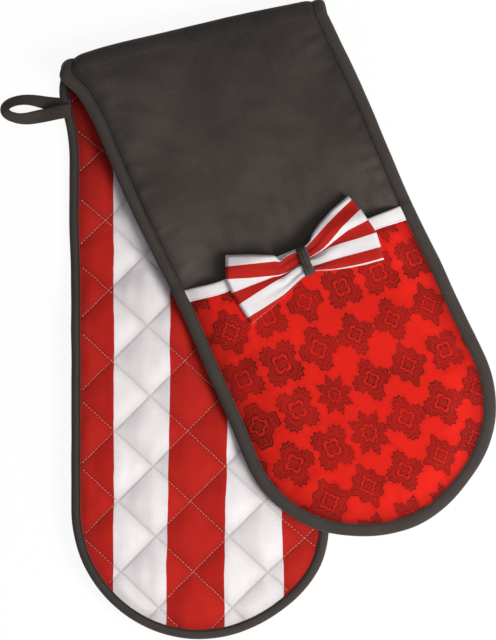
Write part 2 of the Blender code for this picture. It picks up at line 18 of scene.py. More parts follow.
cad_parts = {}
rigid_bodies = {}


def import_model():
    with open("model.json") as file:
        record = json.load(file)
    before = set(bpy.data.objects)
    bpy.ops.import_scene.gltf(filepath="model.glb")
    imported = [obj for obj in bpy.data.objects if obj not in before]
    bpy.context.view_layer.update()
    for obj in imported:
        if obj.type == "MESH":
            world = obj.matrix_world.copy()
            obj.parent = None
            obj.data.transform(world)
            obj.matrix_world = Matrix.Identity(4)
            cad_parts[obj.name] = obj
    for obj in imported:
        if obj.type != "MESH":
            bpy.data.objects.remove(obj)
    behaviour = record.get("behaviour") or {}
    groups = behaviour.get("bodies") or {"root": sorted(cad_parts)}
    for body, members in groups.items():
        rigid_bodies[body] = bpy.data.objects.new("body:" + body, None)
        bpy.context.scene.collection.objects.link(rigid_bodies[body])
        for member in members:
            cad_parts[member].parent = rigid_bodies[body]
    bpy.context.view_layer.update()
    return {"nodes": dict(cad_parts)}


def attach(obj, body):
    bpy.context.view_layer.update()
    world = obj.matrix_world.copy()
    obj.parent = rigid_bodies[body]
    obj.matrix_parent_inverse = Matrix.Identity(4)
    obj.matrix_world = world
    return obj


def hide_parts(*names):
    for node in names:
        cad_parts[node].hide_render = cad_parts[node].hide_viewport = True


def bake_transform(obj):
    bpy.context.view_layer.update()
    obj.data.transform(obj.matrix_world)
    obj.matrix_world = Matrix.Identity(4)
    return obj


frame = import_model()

for spare in list(bpy.data.objects):
    if spare.type in {"CAMERA", "LIGHT"} or (spare.type == "MESH" and spare.name not in frame["nodes"]):
        bpy.data.objects.remove(spare, do_unlink=True)
print("solids to dress:", len(frame["nodes"]))

# %% [markdown]
# ## The camera and the light
# The glove was seen from straight above, so the camera looks straight down. It stands four metres up with a
# long lens, because a near camera would spread the raised parts apart. A window-sized lamp at the lower right
# gives the soft shadows that fall to the upper left, and a broad weak one above opens the dark cloth.

# %% Camera
MM = 0.001
PIXEL = 0.7227 * MM  # one pixel of the picture, on the glove
PICTURE = (496, 640)
CAMERA_HEIGHT = 4.0
VIEW_CENTRE = (35.4 * MM, 137.3 * MM)
MEAN_HEIGHT = 16.0 * MM
SENSOR = 24.0

camera_data = bpy.data.cameras.new("camera")
camera_data.sensor_fit = "VERTICAL"
camera_data.sensor_height = SENSOR
camera_data.lens = SENSOR * (CAMERA_HEIGHT - MEAN_HEIGHT) / (PICTURE[1] * PIXEL)
camera = bpy.data.objects.new("camera", camera_data)
camera.location = (*VIEW_CENTRE, CAMERA_HEIGHT)
bpy.context.scene.collection.objects.link(camera)
bpy.context.scene.camera = camera
print(f"lens {camera_data.lens:.0f} mm")


# %% Lamps and world
def soft_lamp(name, place, target, size, power, colour=(1.0, 1.0, 1.0)):
    """A round area lamp that looks at a target."""
    data = bpy.data.lights.new(name, "AREA")
    data.shape = "DISK"
    data.size = size
    data.energy = power
    data.color = colour
    lamp = bpy.data.objects.new(name, data)
    lamp.location = place
    lamp.rotation_euler = (Vector(target) - Vector(place)).to_track_quat("-Z", "Y").to_euler()
    bpy.context.scene.collection.objects.link(lamp)


TARGET = (0.04, 0.14, 0.0)
PLAIN_WHITE = (1.0, 1.0, 1.0, 1.0)
WORLD_STRENGTH = 0.18

soft_lamp("key", (1.06, -0.46, 1.22), TARGET, size=0.76, power=28.5, colour=(1.0, 0.985, 0.96))
soft_lamp("top", (0.35, 0.1, 1.9), TARGET, size=1.5, power=6.5)
world = bpy.data.worlds.new("studio")
bpy.context.scene.world = world
world.use_nodes = True
background = world.node_tree.nodes["Background"].inputs
background["Color"].default_value = PLAIN_WHITE
background["Strength"].default_value = WORLD_STRENGTH
print("lamps:", [lamp.name for lamp in bpy.data.lights])

# %% Colour handling
bpy.context.scene.view_settings.view_transform = "Standard"

# %% [markdown]
# ## One floor that stays white
# A lit white floor would need far more light than the glove. Here the camera sees a share of plain white
# instead, and the rest of the floor's colour is matt paint, which keeps a soft shadow under the glove.

# %% Floor
FLOOR_REACH = 6.0
FLOOR_SHADE = 0.10  # share of the floor that is matt paint
FLOOR_GLOW = 1.025


def white_floor():
    """A wide plane whose material is white for camera, mirror and glass rays."""
    data = bpy.data.meshes.new("floor")
    corners = [(x * FLOOR_REACH, y * FLOOR_REACH, 0) for x, y in ((-1, -1), (1, -1), (1, 1), (-1, 1))]
    data.from_pydata(corners, [], [(0, 1, 2, 3)])
    floor = bpy.data.objects.new("floor", data)
    bpy.context.scene.collection.objects.link(floor)
    paint = bpy.data.materials.new("white_floor")
    paint.use_nodes = True
    nodes, links = paint.node_tree.nodes, paint.node_tree.links
    matt = nodes["Principled BSDF"]
    matt.inputs["Base Color"].default_value = (0.8, 0.8, 0.8, 1.0)
    matt.inputs["Roughness"].default_value = 1.0
    matt.inputs["Specular IOR Level"].default_value = 0.0
    glow = nodes.new("ShaderNodeEmission")
    glow.inputs["Color"].default_value = PLAIN_WHITE
    glow.inputs["Strength"].default_value = FLOOR_GLOW
    rays = nodes.new("ShaderNodeLightPath").outputs
    seen = rays["Is Camera Ray"]
    for kind in ("Is Glossy Ray", "Is Transmission Ray"):
        either = nodes.new("ShaderNodeMath")
        either.operation = "MAXIMUM"
        links.new(seen, either.inputs[0])
        links.new(rays[kind], either.inputs[1])
        seen = either.outputs[0]
    share = nodes.new("ShaderNodeMath")
    share.operation = "MULTIPLY"
    share.inputs[1].default_value = 1.0 - FLOOR_SHADE
    links.new(seen, share.inputs[0])
    mix = nodes.new("ShaderNodeMixShader")
    links.new(share.outputs[0], mix.inputs["Fac"])
    links.new(matt.outputs[0], mix.inputs[1])
    links.new(glow.outputs[0], mix.inputs[2])
    links.new(mix.outputs[0], nodes["Material Output"].inputs["Surface"])
    data.materials.append(paint)


white_floor()

# %% [markdown]
# ## How the strip lies
# Both halves share one description. Each has a frame of its own whose origin is the middle of the crease:
# the strip runs down its -Y, and its quilted face looks up. A depth counts from the top of the quilting down
# to the outer cloth, and an inset counts from the strip's edge inwards. With these two numbers every layer of
# both halves can be laid by the same few lines.

# %% Sizes that all layers share
HALF_WIDTH = 92.5 * MM
REAR_LENGTH = 338.2 * MM  # crease to the centre of the round end
FRONT_LENGTH = 291.0 * MM
TILT = math.radians(12.4)  # of the crease
CREASE_SLOPE = math.tan(TILT)
ALONG_CREASE = Vector((math.cos(TILT), math.sin(TILT), 0.0))
OFF_CREASE = Vector((-math.sin(TILT), math.cos(TILT), 0.0))
CREASE = Vector((0.0, REAR_LENGTH, 12.1 * MM))
INNER_RADIUS = 4.4 * MM  # of the fold, at the top of the quilting
STRIP_DEPTH = 7.7 * MM  # to the outer cloth
POCKET_RIM_DEPTH = 9.8 * MM  # to the outside of the pocket, where it is sewn to the strip
POCKET_DEPTH = 16.2 * MM  # to the outside of the pocket, in its middle
POCKET_RISE = 8.5 * MM  # by which the rear pocket raises the strip
RAMP_START = 133.2 * MM  # where that rise begins to fade, from the round end's centre
RAMP_RUN = 50.8 * MM
MOUTH_REACH = 125.6 * MM  # round end's centre to the pocket's mouth
MOUTH_SLOPE = 0.0467  # the front pocket's mouth climbs a little to the right
BAND_WIDTH = 9.0 * MM
QUILT_ACROSS = 52.8 * MM
QUILT_ALONG = 50.8 * MM
QUILT_SINK = 2.2 * MM
QUILT_CORNER = (-7.0 * MM, 57.0 * MM)
QUILT_LEAN = -0.0413  # the stitched rows run a little askew to the strip
QUILT_TRUE = 313.0 * MM  # from the crease down to where they are true
BEND_RUN = math.pi * INNER_RADIUS


def smooth(values, low, high):
    """0 below low, 1 above high, with an easy curve between."""
    share = np.clip((np.asarray(values, float) - low) / (high - low), 0.0, 1.0)
    return share * share * (3.0 - 2.0 * share)


class Half:
    """One half of the strip, as its sizes and its place in the world."""

    def __init__(self, name, length, mouth_slope, lifted, corner, turn):
        self.name = name
        self.body = name + "_half"
        self.length = length
        self.mouth_slope = mouth_slope
        self.lifted = lifted
        self.corner = corner
        self.place = Matrix.Translation(CREASE) @ Euler(turn).to_matrix().to_4x4()

    def own_frame(self, points):
        """Points of the world in this half's frame."""
        return np.c_[points, np.ones(len(points))] @ np.array(self.place.inverted()).T

    def inset(self, x, y):
        """Distance in from the strip's edge."""
        beyond = np.minimum(y + self.length, 0.0)
        return HALF_WIDTH - np.hypot(x, beyond)

    def lift(self, y):
        """How far the pocket underneath raises the strip."""
        if not self.lifted:
            return np.zeros_like(np.asarray(y, float))
        return POCKET_RISE * (1.0 - smooth(y + self.length, RAMP_START, RAMP_START + RAMP_RUN))

    def height(self, depth, y):
        """z of a depth in the layers."""
        return self.lift(y) - INNER_RADIUS - depth

    def drift(self, y):
        """How far the quilting's pattern has moved sideways at y."""
        if self.lifted:
            return QUILT_LEAN * (y + QUILT_TRUE)
        return -QUILT_LEAN * (BEND_RUN - y + QUILT_TRUE)

    def turns(self, x, y):
        """Two numbers that are whole on the stitched lines, one for each direction of the quilting."""
        u = (x - self.drift(y) - self.corner[0]) / QUILT_ACROSS
        v = (y + self.length - self.corner[1]) / QUILT_ALONG
        return u + v, u - v

    def quilt(self, x, y):
        """0 on a stitched line, 1 in the middle of a diamond."""
        rising, falling = self.turns(x, y)
        return np.sqrt(np.abs(np.sin(math.pi * rising) * np.sin(math.pi * falling)))

    def stitch_distance(self, x, y):
        """Distance to the nearest stitched line, in shares of the spacing between two lines."""
        rising, falling = self.turns(x, y)
        return np.minimum(np.abs(rising - np.rint(rising)), np.abs(falling - np.rint(falling)))


run_on = (REAR_LENGTH + BEND_RUN + FRONT_LENGTH - QUILT_CORNER[1]) % QUILT_ALONG
rear = Half("rear", REAR_LENGTH, mouth_slope=0.0, lifted=True, corner=QUILT_CORNER, turn=(0.0, 0.0, 0.0))
front = Half(
    "front",
    FRONT_LENGTH,
    mouth_slope=MOUTH_SLOPE,
    lifted=False,
    corner=(-QUILT_CORNER[0], run_on),
    turn=(math.pi, 0.0, math.pi + 2 * TILT),
)
print(f"quilting of the front half starts {run_on / MM:.1f} mm from its end's centre")

# %% [markdown]
# ## Cloth from a net of squares
# Cloth drapes, swells and creases best when its mesh is a fine, even net. A net is laid over a layer's plan,
# the squares outside the plan are dropped, and heights come from a function of x and y. The ragged edge that
# this leaves is tucked under the binding tape, as the cut edge is on the real glove.


# %% Laying a net
def corners_of(number):
    """The four corners of every square of a net, from the numbers of its points."""
    return np.stack([number[:-1, :-1], number[:-1, 1:], number[1:, 1:], number[1:, :-1]], axis=-1)


def net(xs, ys, keep):
    """Points and squares of a net, without the squares whose middle keep() refuses."""
    x, y = np.meshgrid(xs, ys)
    middle_x = (x[:-1, :-1] + x[1:, 1:]) / 2
    middle_y = (y[:-1, :-1] + y[1:, 1:]) / 2
    squares = corners_of(np.arange(x.size).reshape(x.shape))[keep(middle_x, middle_y)]
    used, squares = np.unique(squares, return_inverse=True)
    return x.ravel()[used], y.ravel()[used], squares.reshape(-1, 4)


def new_piece(name, points, faces, place, cloth_place=None):
    """A mesh object from arrays of points and faces, in a frame of its own."""
    data = bpy.data.meshes.new(name)
    data.from_pydata([tuple(point) for point in points], [], [tuple(face) for face in faces])
    data.update()
    piece = bpy.data.objects.new(name, data)
    bpy.context.scene.collection.objects.link(piece)
    piece.matrix_world = place
    if cloth_place is not None:
        mark_cloth(piece, cloth_place)
    return piece


def mark_cloth(piece, places):
    """Writes where each point lies on the flat cloth, in metres, for the materials to read."""
    layer = piece.data.attributes.get("cloth_place")
    if layer is None:
        layer = piece.data.attributes.new("cloth_place", "FLOAT_VECTOR", "POINT")
    flat = np.zeros((len(piece.data.vertices), 3), np.float32)
    flat[:, : np.shape(places)[1]] = places
    layer.data.foreach_set("vector", flat.ravel())


def mark_points(piece, name, values):
    """Writes a number on every point, for the materials to read."""
    layer = piece.data.attributes.new(name, "FLOAT", "POINT")
    layer.data.foreach_set("value", np.asarray(values, np.float32))


def points_of(piece):
    """The mesh's points as an array."""
    flat = np.zeros(len(piece.data.vertices) * 3)
    piece.data.vertices.foreach_get("co", flat)
    return flat.reshape(-1, 3)


def set_points(piece, points):
    """Moves the mesh's points."""
    piece.data.vertices.foreach_set("co", np.asarray(points, float).ravel())
    piece.data.update()


riders = []


def goes_with(piece, body):
    """Notes which body of the glove a piece belongs to; it is joined to it at the end."""
    riders.append((piece, body))


# %% [markdown]
# ## Where the strip isn't even
# The loop's weight has drawn the fold's left corner out, the crease bows a little, and the cut edge strays.
# Short tables of soft hills hold these shifts of a few millimetres. Every layer is shifted alike, so that
# tape, thread and cloth stay together.

# %% Pull of the loop and strays of the cut
def hill(distance, reach):
    """A soft hill: 1 at a distance of nothing."""
    return np.exp(-((distance / reach) ** 2))


def hills(distance, sizes):
    """A sum of soft hills, each of them given as its height, middle and reach in mm."""
    return sum(height * hill(distance - middle * MM, reach * MM) for height, middle, reach in sizes)


REAR_PULL = ((5.4, 2.0, 22.0), (5.2, 22.0, 26.0))  # down the rear half's left edge from the crease
FRONT_PULL = ((6.0, 0.0, 10.0), (1.9, 0.0, 35.0))  # down the front half's left edge from the crease
CORNER_DIP = ((4.2, 0.0, 28.0), (1.3, 0.0, 11.0))  # inwards from the left edge
CREASE_BOW = ((1.4, 28.0, 50.0),)  # along the crease from its middle
PULL_REACH = 40 * MM
DIP_REACH = 25 * MM


def corner_pull(points, share):
    """Shifts towards the loop. share is 0 on the rear half and 1 on the front one."""
    on_front = front.own_frame(points)
    from_left_rear = points[:, 0] + HALF_WIDTH
    from_left_front = HALF_WIDTH - on_front[:, 0]
    down_rear = REAR_LENGTH - HALF_WIDTH * CREASE_SLOPE - points[:, 1]
    down_front = HALF_WIDTH * CREASE_SLOPE - on_front[:, 1]
    across = (1 - share) * hills(down_rear, REAR_PULL) * hill(from_left_rear, PULL_REACH)
    across += share * hills(down_front, FRONT_PULL) * hill(from_left_front, PULL_REACH)
    sag = (1 - share) * (hills(from_left_rear, CORNER_DIP) * hill(down_rear, DIP_REACH))
    sag += share * (hills(from_left_front, CORNER_DIP) * hill(down_front, DIP_REACH))
    past_crease = points[:, 1] - CREASE.y - CREASE_SLOPE * points[:, 0]
    bowed = hills(points[:, 0], CREASE_BOW) * smooth(past_crease, -1 * MM, 9 * MM)
    return np.stack([-across * MM, (bowed - sag) * MM, np.zeros_like(sag)], axis=1)


# whether it is on the front half, the middle and reach of the stretch, and its shift, in mm
STRAYS = [
    (False, (86.0, -40.0), 42.0, (3.9, -1.5)),
    (False, (0.0, -92.0), 70.0, (0.0, -1.2)),
    (False, (-92.0, 222.0), 48.0, (-1.8, 0.0)),
    (True, (194.0, 20.0), 34.0, (-2.0, 1.7)),
    (True, (-46.0, 218.0), 62.0, (-2.8, -1.3)),
    (True, (10.0, 95.0), 50.0, (-2.0, -0.9)),
    (True, (47.0, 22.0), 48.0, (-3.5, -2.9)),
    (True, (86.0, -11.0), 26.0, (-0.7, -1.6)),
    (True, (113.0, 313.0), 45.0, (0.9, 0.4)),
    (True, (155.0, 223.0), 46.0, (-1.6, -0.7)),
    (True, (190.0, 150.0), 26.0, (-0.6, -0.3)),
]


def stray_cut(points, share):
    """Small shifts of the outline, which nearly fade out towards the middle of the strip."""
    shift = np.zeros_like(points)
    on_front = front.own_frame(points)
    rear_inset = rear.inset(points[:, 0], points[:, 1] - CREASE.y)
    front_inset = front.inset(on_front[:, 0], on_front[:, 1])
    for is_front, middle, reach, step in STRAYS:
        away = np.hypot(points[:, 0] - middle[0] * MM, points[:, 1] - middle[1] * MM)
        weight = (share if is_front else 1.0 - share) * hill(away, reach * MM)
        weight = weight * (1.0 - 0.9 * smooth(front_inset if is_front else rear_inset, 9 * MM, 36 * MM))
        shift[:, 0] += weight * step[0] * MM
        shift[:, 1] += weight * step[1] * MM
    return shift


def settle(piece, body=None):
    """Moves a piece's place into its points and adds the shifts above. Without a body it is the fold's."""
    piece.data.transform(piece.matrix_world)
    piece.matrix_world = Matrix()
    points = points_of(piece)
    if body is None:
        share = smooth(points[:, 2], CREASE.z - INNER_RADIUS, CREASE.z + INNER_RADIUS)
    else:
        share = np.full(len(points), float(body == "front_half"))
    if body in {None, "rear_half", "front_half"}:
        set_points(piece, points + corner_pull(points, share) + stray_cut(points, share))


# %% Finishing a mesh
SHARP_ANGLE = math.radians(55.0)


def bake_modifiers(piece):
    """Replaces the mesh by what its modifiers make of it."""
    graph = bpy.context.evaluated_depsgraph_get()
    finished = piece.evaluated_get(graph)
    made = bpy.data.meshes.new_from_object(finished, preserve_all_data_layers=True, depsgraph=graph)
    piece.modifiers.clear()
    old = piece.data
    piece.data = made
    made.name = piece.name
    bpy.data.meshes.remove(old)
    piece.data.shade_smooth()
    piece.data.set_sharp_from_angle(angle=SHARP_ANGLE)


def refine(piece, thickness=0.0, shares=None):
    """Smooths a net by subdivision and thickens it on its inner side, if need be by a share at each point."""
    if shares is not None:
        group = piece.vertex_groups.new(name="thickness")
        for index, share in enumerate(shares):
            group.add([index], float(share), "REPLACE")
    finer = piece.modifiers.new("finer", "SUBSURF")
    finer.levels = 1
    finer.render_levels = 1
    if thickness:
        solid = piece.modifiers.new("thickness", "SOLIDIFY")
        solid.thickness = thickness
        solid.offset = -1.0
        if shares is not None:
            solid.vertex_group = "thickness"
    bake_modifiers(piece)
    piece.vertex_groups.clear()


def face_outwards(piece):
    """Turns all faces of a closed mesh outwards."""
    mesh = bmesh.new()
    mesh.from_mesh(piece.data)
    bmesh.ops.recalc_face_normals(mesh, faces=mesh.faces[:])
    mesh.to_mesh(piece.data)
    mesh.free()
    piece.data.update()


def pad_between(name, upper, lower, place):
    """A closed pad from two nets of the same shape, (rows, columns, 3)."""
    rows, columns = upper.shape[:2]
    count = rows * columns
    number = np.arange(count).reshape(rows, columns)
    squares = corners_of(number)[..., [0, 3, 2, 1]].reshape(-1, 4)
    under = squares[:, ::-1] + count
    rim = np.concatenate([number[0, :], number[1:, -1], number[-1, -2::-1], number[-2:0:-1, 0]])
    after = np.roll(rim, -1)
    walls = np.stack([rim, after, after + count, rim + count], axis=1)
    points = np.concatenate([upper.reshape(-1, 3), lower.reshape(-1, 3)])
    piece = new_piece(name, points, np.concatenate([squares, under, walls]), place)
    face_outwards(piece)
    mark_cloth(piece, points[:, :2])
    return piece


def cut_at_crease(piece):
    """Trims a half's net along the slanting crease."""
    mesh = bmesh.new()
    mesh.from_mesh(piece.data)
    geometry = mesh.verts[:] + mesh.edges[:] + mesh.faces[:]
    crease_point = (0.0, 0.0, 0.0)
    bmesh.ops.bisect_plane(mesh, geom=geometry, plane_co=crease_point, plane_no=OFF_CREASE, clear_outer=True)
    mesh.to_mesh(piece.data)
    mesh.free()
    piece.data.update()


def wave(x, y, size, seed):
    """Soft noise between -1 and 1 whose bumps are about size apart."""
    across, along = np.asarray(x, float) / size, np.asarray(y, float) / size
    level = [noise.noise((u, v, seed)) for u, v in zip(across.ravel(), along.ravel())]
    return np.array(level).reshape(across.shape)


# %% [markdown]
# ## Padding by cloth simulation
# The wadding pushes the cloth out between its seams. Blender's Cloth does the same with pressure: the points
# on the seams are held, the cloth is let out by a percent or so, and twenty frames are enough for the pads to
# fill and for small puckers to form along the stitches. The solver behaves best on things about a metre wide,
# so the net is blown up tenfold for it and shrunk again after.

# %% Swelling a net
SOLVER_SCALE = 10.0
SOLVER_FRAMES = 20
STRETCH_STIFFNESS = 15.0
MOST_SWELL = 1.8 * MM  # how far any point may move


def swell(piece, held, let_out, pressure):
    """Fills a net like a pad. held marks the points on seams, and let_out is a share of the cloth's size."""
    start = points_of(piece)
    set_points(piece, start * SOLVER_SCALE)
    seams = piece.vertex_groups.new(name="seams")
    seams.add([int(index) for index in np.flatnonzero(held)], 1.0, "REPLACE")
    pad = piece.modifiers.new("pad", "CLOTH")
    pad.settings.quality = 5
    pad.settings.tension_stiffness = STRETCH_STIFFNESS
    pad.settings.compression_stiffness = STRETCH_STIFFNESS
    pad.settings.shear_stiffness = STRETCH_STIFFNESS / 3
    pad.settings.bending_stiffness = 0.5
    pad.settings.use_pressure = True
    pad.settings.uniform_pressure_force = pressure
    pad.settings.shrink_min = -let_out
    pad.settings.vertex_group_mass = "seams"
    pad.settings.effector_weights.gravity = 0.0
    pad.collision_settings.use_collision = False
    pad.point_cache.frame_start = 1
    pad.point_cache.frame_end = SOLVER_FRAMES
    for number in range(1, SOLVER_FRAMES + 1):
        bpy.context.scene.frame_set(number)
    solved = piece.evaluated_get(bpy.context.evaluated_depsgraph_get()).to_mesh()
    end = np.zeros(len(solved.vertices) * 3)
    solved.vertices.foreach_get("co", end)
    end = end.reshape(-1, 3) / SOLVER_SCALE
    piece.modifiers.clear()
    piece.vertex_groups.clear()
    bpy.context.scene.frame_set(1)
    moved = end - start
    length = np.linalg.norm(moved, axis=1, keepdims=True)
    capped = moved * np.minimum(1.0, MOST_SWELL / np.maximum(length, 1e-9))
    set_points(piece, start + capped)
    print(f"{piece.name}: swelled by up to {length.max() / MM:.1f} mm, kept to {MOST_SWELL / MM:.1f} mm")


# %% [markdown]
# ## The quilted lining
# Red and white striped cotton is stitched through the wadding in diamonds. The net is laid so that the
# stitched lines run exactly through its corners, which lets the simulation hold them as a thread would. Each
# half has its own lining piece, because the halves turn about the crease and the fold between them bends.

# %% Lining of the two halves
CELLS = 16  # squares across a diamond, each way
DRIFT_ROOM = 30 * MM  # by which the net is wider than the strip, because its columns lean
RIM_DEPTH = 1.75 * MM  # the cloth's edge, under the tape
LINING_RIM = (6.8 * MM, 13.0 * MM)  # insets between which the cloth rises from its rim
LINING_THICKNESS = 3.3 * MM  # cloth with its share of wadding
LINING_PUCKER = 1.1 * MM


def quilted_depth(inset, puff):
    """Depth of the quilted face, which sinks along the stitches and is pressed down towards the tape."""
    easy = smooth(inset, *LINING_RIM)
    return easy * QUILT_SINK * (1.0 - puff) + (1.0 - easy) * RIM_DEPTH


def quilt_lines(half):
    """The x and y of the net's lines, laid on the quilting's lattice."""
    reach = HALF_WIDTH + DRIFT_ROOM
    top = half.length + HALF_WIDTH * CREASE_SLOPE
    lines = []
    for low, high, corner, diamond in (
        (-reach, reach, half.corner[0], QUILT_ACROSS),
        (-HALF_WIDTH, top, half.corner[1], QUILT_ALONG),
    ):
        step = diamond / CELLS
        number = np.arange(math.floor((low - corner) / step), math.ceil((high - corner) / step) + 1)
        lines.append(corner + number * step)
    return lines[0], lines[1] - half.length


def mark_strip(piece, half):
    """Writes the places on the flat strip, which run on from the rear half to the front one."""
    mark_cloth(piece, points_of(piece)[:, :2] * (1.0 if half.lifted else -1.0))


def make_lining(half):
    """The quilted face of one half."""

    def kept(column, my):
        mx = column + half.drift(my)
        return (half.inset(mx, my) > 3.4 * MM) & (my < CREASE_SLOPE * mx + 8 * MM)

    xs, ys = quilt_lines(half)
    column, y, squares = net(xs, ys, kept)
    x = column + half.drift(y)
    inset, puff = half.inset(x, y), half.quilt(x, y)
    z = half.height(quilted_depth(inset, puff), y)
    piece = new_piece(half.name + "_lining", np.stack([x, y, z], axis=1), squares, half.place)
    stitched = half.stitch_distance(x, y) < 0.01
    held = stitched | (inset < 8.0 * MM) | (y > CREASE_SLOPE * x - 4 * MM)
    swell(piece, held, let_out=0.012, pressure=4.0)
    points = points_of(piece)
    puckers = LINING_PUCKER * wave(x, y / 4.0, 8 * MM, 5.0)
    points[:, 2] += puckers * puff * smooth(inset, 8 * MM, 16 * MM)
    set_points(piece, points)
    cut_at_crease(piece)
    refine(piece, LINING_THICKNESS)
    mark_strip(piece, half)
    goes_with(piece, half.body)
    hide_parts(half.name + "_quilted_lining", half.name + "_wadding")
    return piece


linings = {half.name: make_lining(half) for half in (rear, front)}
print("lining faces:", {name: len(piece.data.polygons) for name, piece in linings.items()})

# %% [markdown]
# ## The charcoal outer cloth
# The back of the strip is one plain weave, smooth but never quite flat: slow dips where the wadding settled,
# a few slanting creases, and small gathers where the tape and the pocket's mouth draw it in. Those are moves
# of a millimetre or two, so noise in the mesh gives them more surely than a simulation would.

# %% Creases of plain cloth
SLOW_DIPS = 1.8 * MM
SLANTING_CREASES = 4.5 * MM
TAPE_GATHERS = 2.8 * MM
MOUTH_GATHERS = 2.0 * MM


def creases(half, x, y, seed):
    """How far plain cloth stands up, in metres: slow dips, slanting creases and two kinds of gathers."""
    slow = SLOW_DIPS * wave(x, y, 62 * MM, seed)
    along = x * 0.8 + y * 0.6
    across = y * 0.8 - x * 0.6
    slanting = wave(along / 3.2, across, 15 * MM, seed + 5.0)
    slanting = SLANTING_CREASES * np.clip(slanting - 0.10, 0.0, 1.0)
    edge = half.inset(x, y)
    gathers = wave(x / 2.6, y, 6.5 * MM, seed + 9.0) * (1.0 - smooth(edge, 9 * MM, 34 * MM))
    above_mouth = y + half.length - MOUTH_REACH
    pulled = wave(x, y / 2.2, 8 * MM, seed + 13.0) * hill(above_mouth - 14 * MM, 24 * MM)
    easy = smooth(edge, 8.8 * MM, 12.2 * MM) * smooth(above_mouth, -10 * MM, 4 * MM)
    return (slow + slanting + TAPE_GATHERS * gathers + MOUTH_GATHERS * pulled) * easy


# %% Outer cloth of the two halves
OUTER_STEP = 2.9 * MM  # width of the net's squares
OUTER_THICKNESS = 0.9 * MM
OUTER_RIM = (8.2 * MM, 12.0 * MM)  # insets between which the cloth rises from under the tape
OUTER_RIM_RISE = 1.65 * MM
OUTER_SLACK = 2.4 * MM  # how far the front half's cloth may stand up; the rear half's lies flat


def make_outer(half, seed):
    """The charcoal cloth of one half, whose outer side looks down its frame's z."""

    def kept(mx, my):
        return (half.inset(mx, my) > 3.0 * MM) & (my < CREASE_SLOPE * mx + 6 * MM)

    xs = np.arange(-HALF_WIDTH, HALF_WIDTH + OUTER_STEP, OUTER_STEP)
    ys = np.arange(-half.length - HALF_WIDTH, HALF_WIDTH * CREASE_SLOPE + OUTER_STEP, OUTER_STEP)
    x, y, squares = net(xs, ys, kept)
    easy = smooth(half.inset(x, y), *OUTER_RIM)
    calm = smooth(CREASE_SLOPE * x - y, 0.0, 12 * MM)
    depth = STRIP_DEPTH - OUTER_RIM_RISE * (1.0 - easy) + creases(half, x, y, seed) * calm
    depth = np.minimum(depth, STRIP_DEPTH + (0.0 if half.lifted else OUTER_SLACK))
    points = np.stack([x, y, half.height(depth, y)], axis=1)
    piece = new_piece(half.name + "_outer_cloth_skin", points, squares[:, ::-1], half.place)
    cut_at_crease(piece)
    refine(piece, OUTER_THICKNESS)
    mark_strip(piece, half)
    goes_with(piece, half.body)
    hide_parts(half.name + "_outer_cloth")
    return piece


outers = {half.name: make_outer(half, seed) for half, seed in ((rear, 3.0), (front, 17.0))}
print("outer cloth faces:", {name: len(piece.data.polygons) for name, piece in outers.items()})

# %% [markdown]
# ## The hand pockets
# Each pocket is a padded panel: a printed cloth, wadding, and a white lining towards the hand. It is sewn
# down round the end and stands off the strip in the middle, so its section is a low crown. The printed cloth
# starts as that crown and is then swelled a little, held at its seam and under the mouth's white band.

# %% Pocket panels
PANEL_STEP = 3.1 * MM  # width of the printed cloth's squares
PANEL_THICKNESS = 2.0 * MM  # printed cloth with its wadding
PANEL_RIM_TOP = 8.1 * MM
PANEL_START = POCKET_DEPTH - 1.0 * MM  # before it is swelled
HAND_RIM_DEPTH = 7.0 * MM
HAND_DEPTH = 12.9 * MM
HAND_THICKNESS = 0.6 * MM
HAND_INSET = 12.5 * MM  # where the room for the hand starts
CROWN_RUN = 19.0 * MM  # inwards from the seam, to where a panel is at its full depth


def crown(half, x, y, rim, middle, start=9.2 * MM):
    """Depth of a pocket layer: low at the seam, full in the middle."""
    share = np.clip((half.inset(x, y) - start) / CROWN_RUN, 0.0, 1.0)
    return rim + (middle - rim) * (1.0 - (1.0 - share) ** 2.3)


def mouth_line(half, x, reach):
    """y of a line along the mouth, at a distance from the round end's centre."""
    straight = reach - half.length + half.mouth_slope * x
    if half.lifted:
        return straight
    return straight + 3.0 * MM * smooth(x, 60 * MM, 88 * MM) - 1.1 * MM * hill(x - 48 * MM, 20 * MM)


def pocket_net(half, step):
    """A net over the pocket's plan, with its upper rows along the mouth."""
    top = MOUTH_REACH - BAND_WIDTH / 2
    xs = np.linspace(-HALF_WIDTH, HALF_WIDTH, round(2 * HALF_WIDTH / step) + 1)
    rows = np.linspace(-HALF_WIDTH, top, round((HALF_WIDTH + top) / step) + 1) - half.length
    x, row, squares = net(xs, rows, lambda mx, my: half.inset(mx, my) > 3.2 * MM)
    skew = smooth(row + half.length, 0.0, top)
    return x, row + (mouth_line(half, x, top) - top + half.length) * skew, squares


def rest_on_table(piece):
    """Presses a net of the rear half flat where it would go through the table."""
    points = points_of(piece)
    points[:, 2] = np.maximum(points[:, 2], 0.05 * MM - CREASE.z)
    set_points(piece, points)


def pocket_height(half, depth):
    """z of a depth in the pocket's layers, which all lie as they do over the round end's centre."""
    return half.height(depth, np.full_like(depth, -half.length))


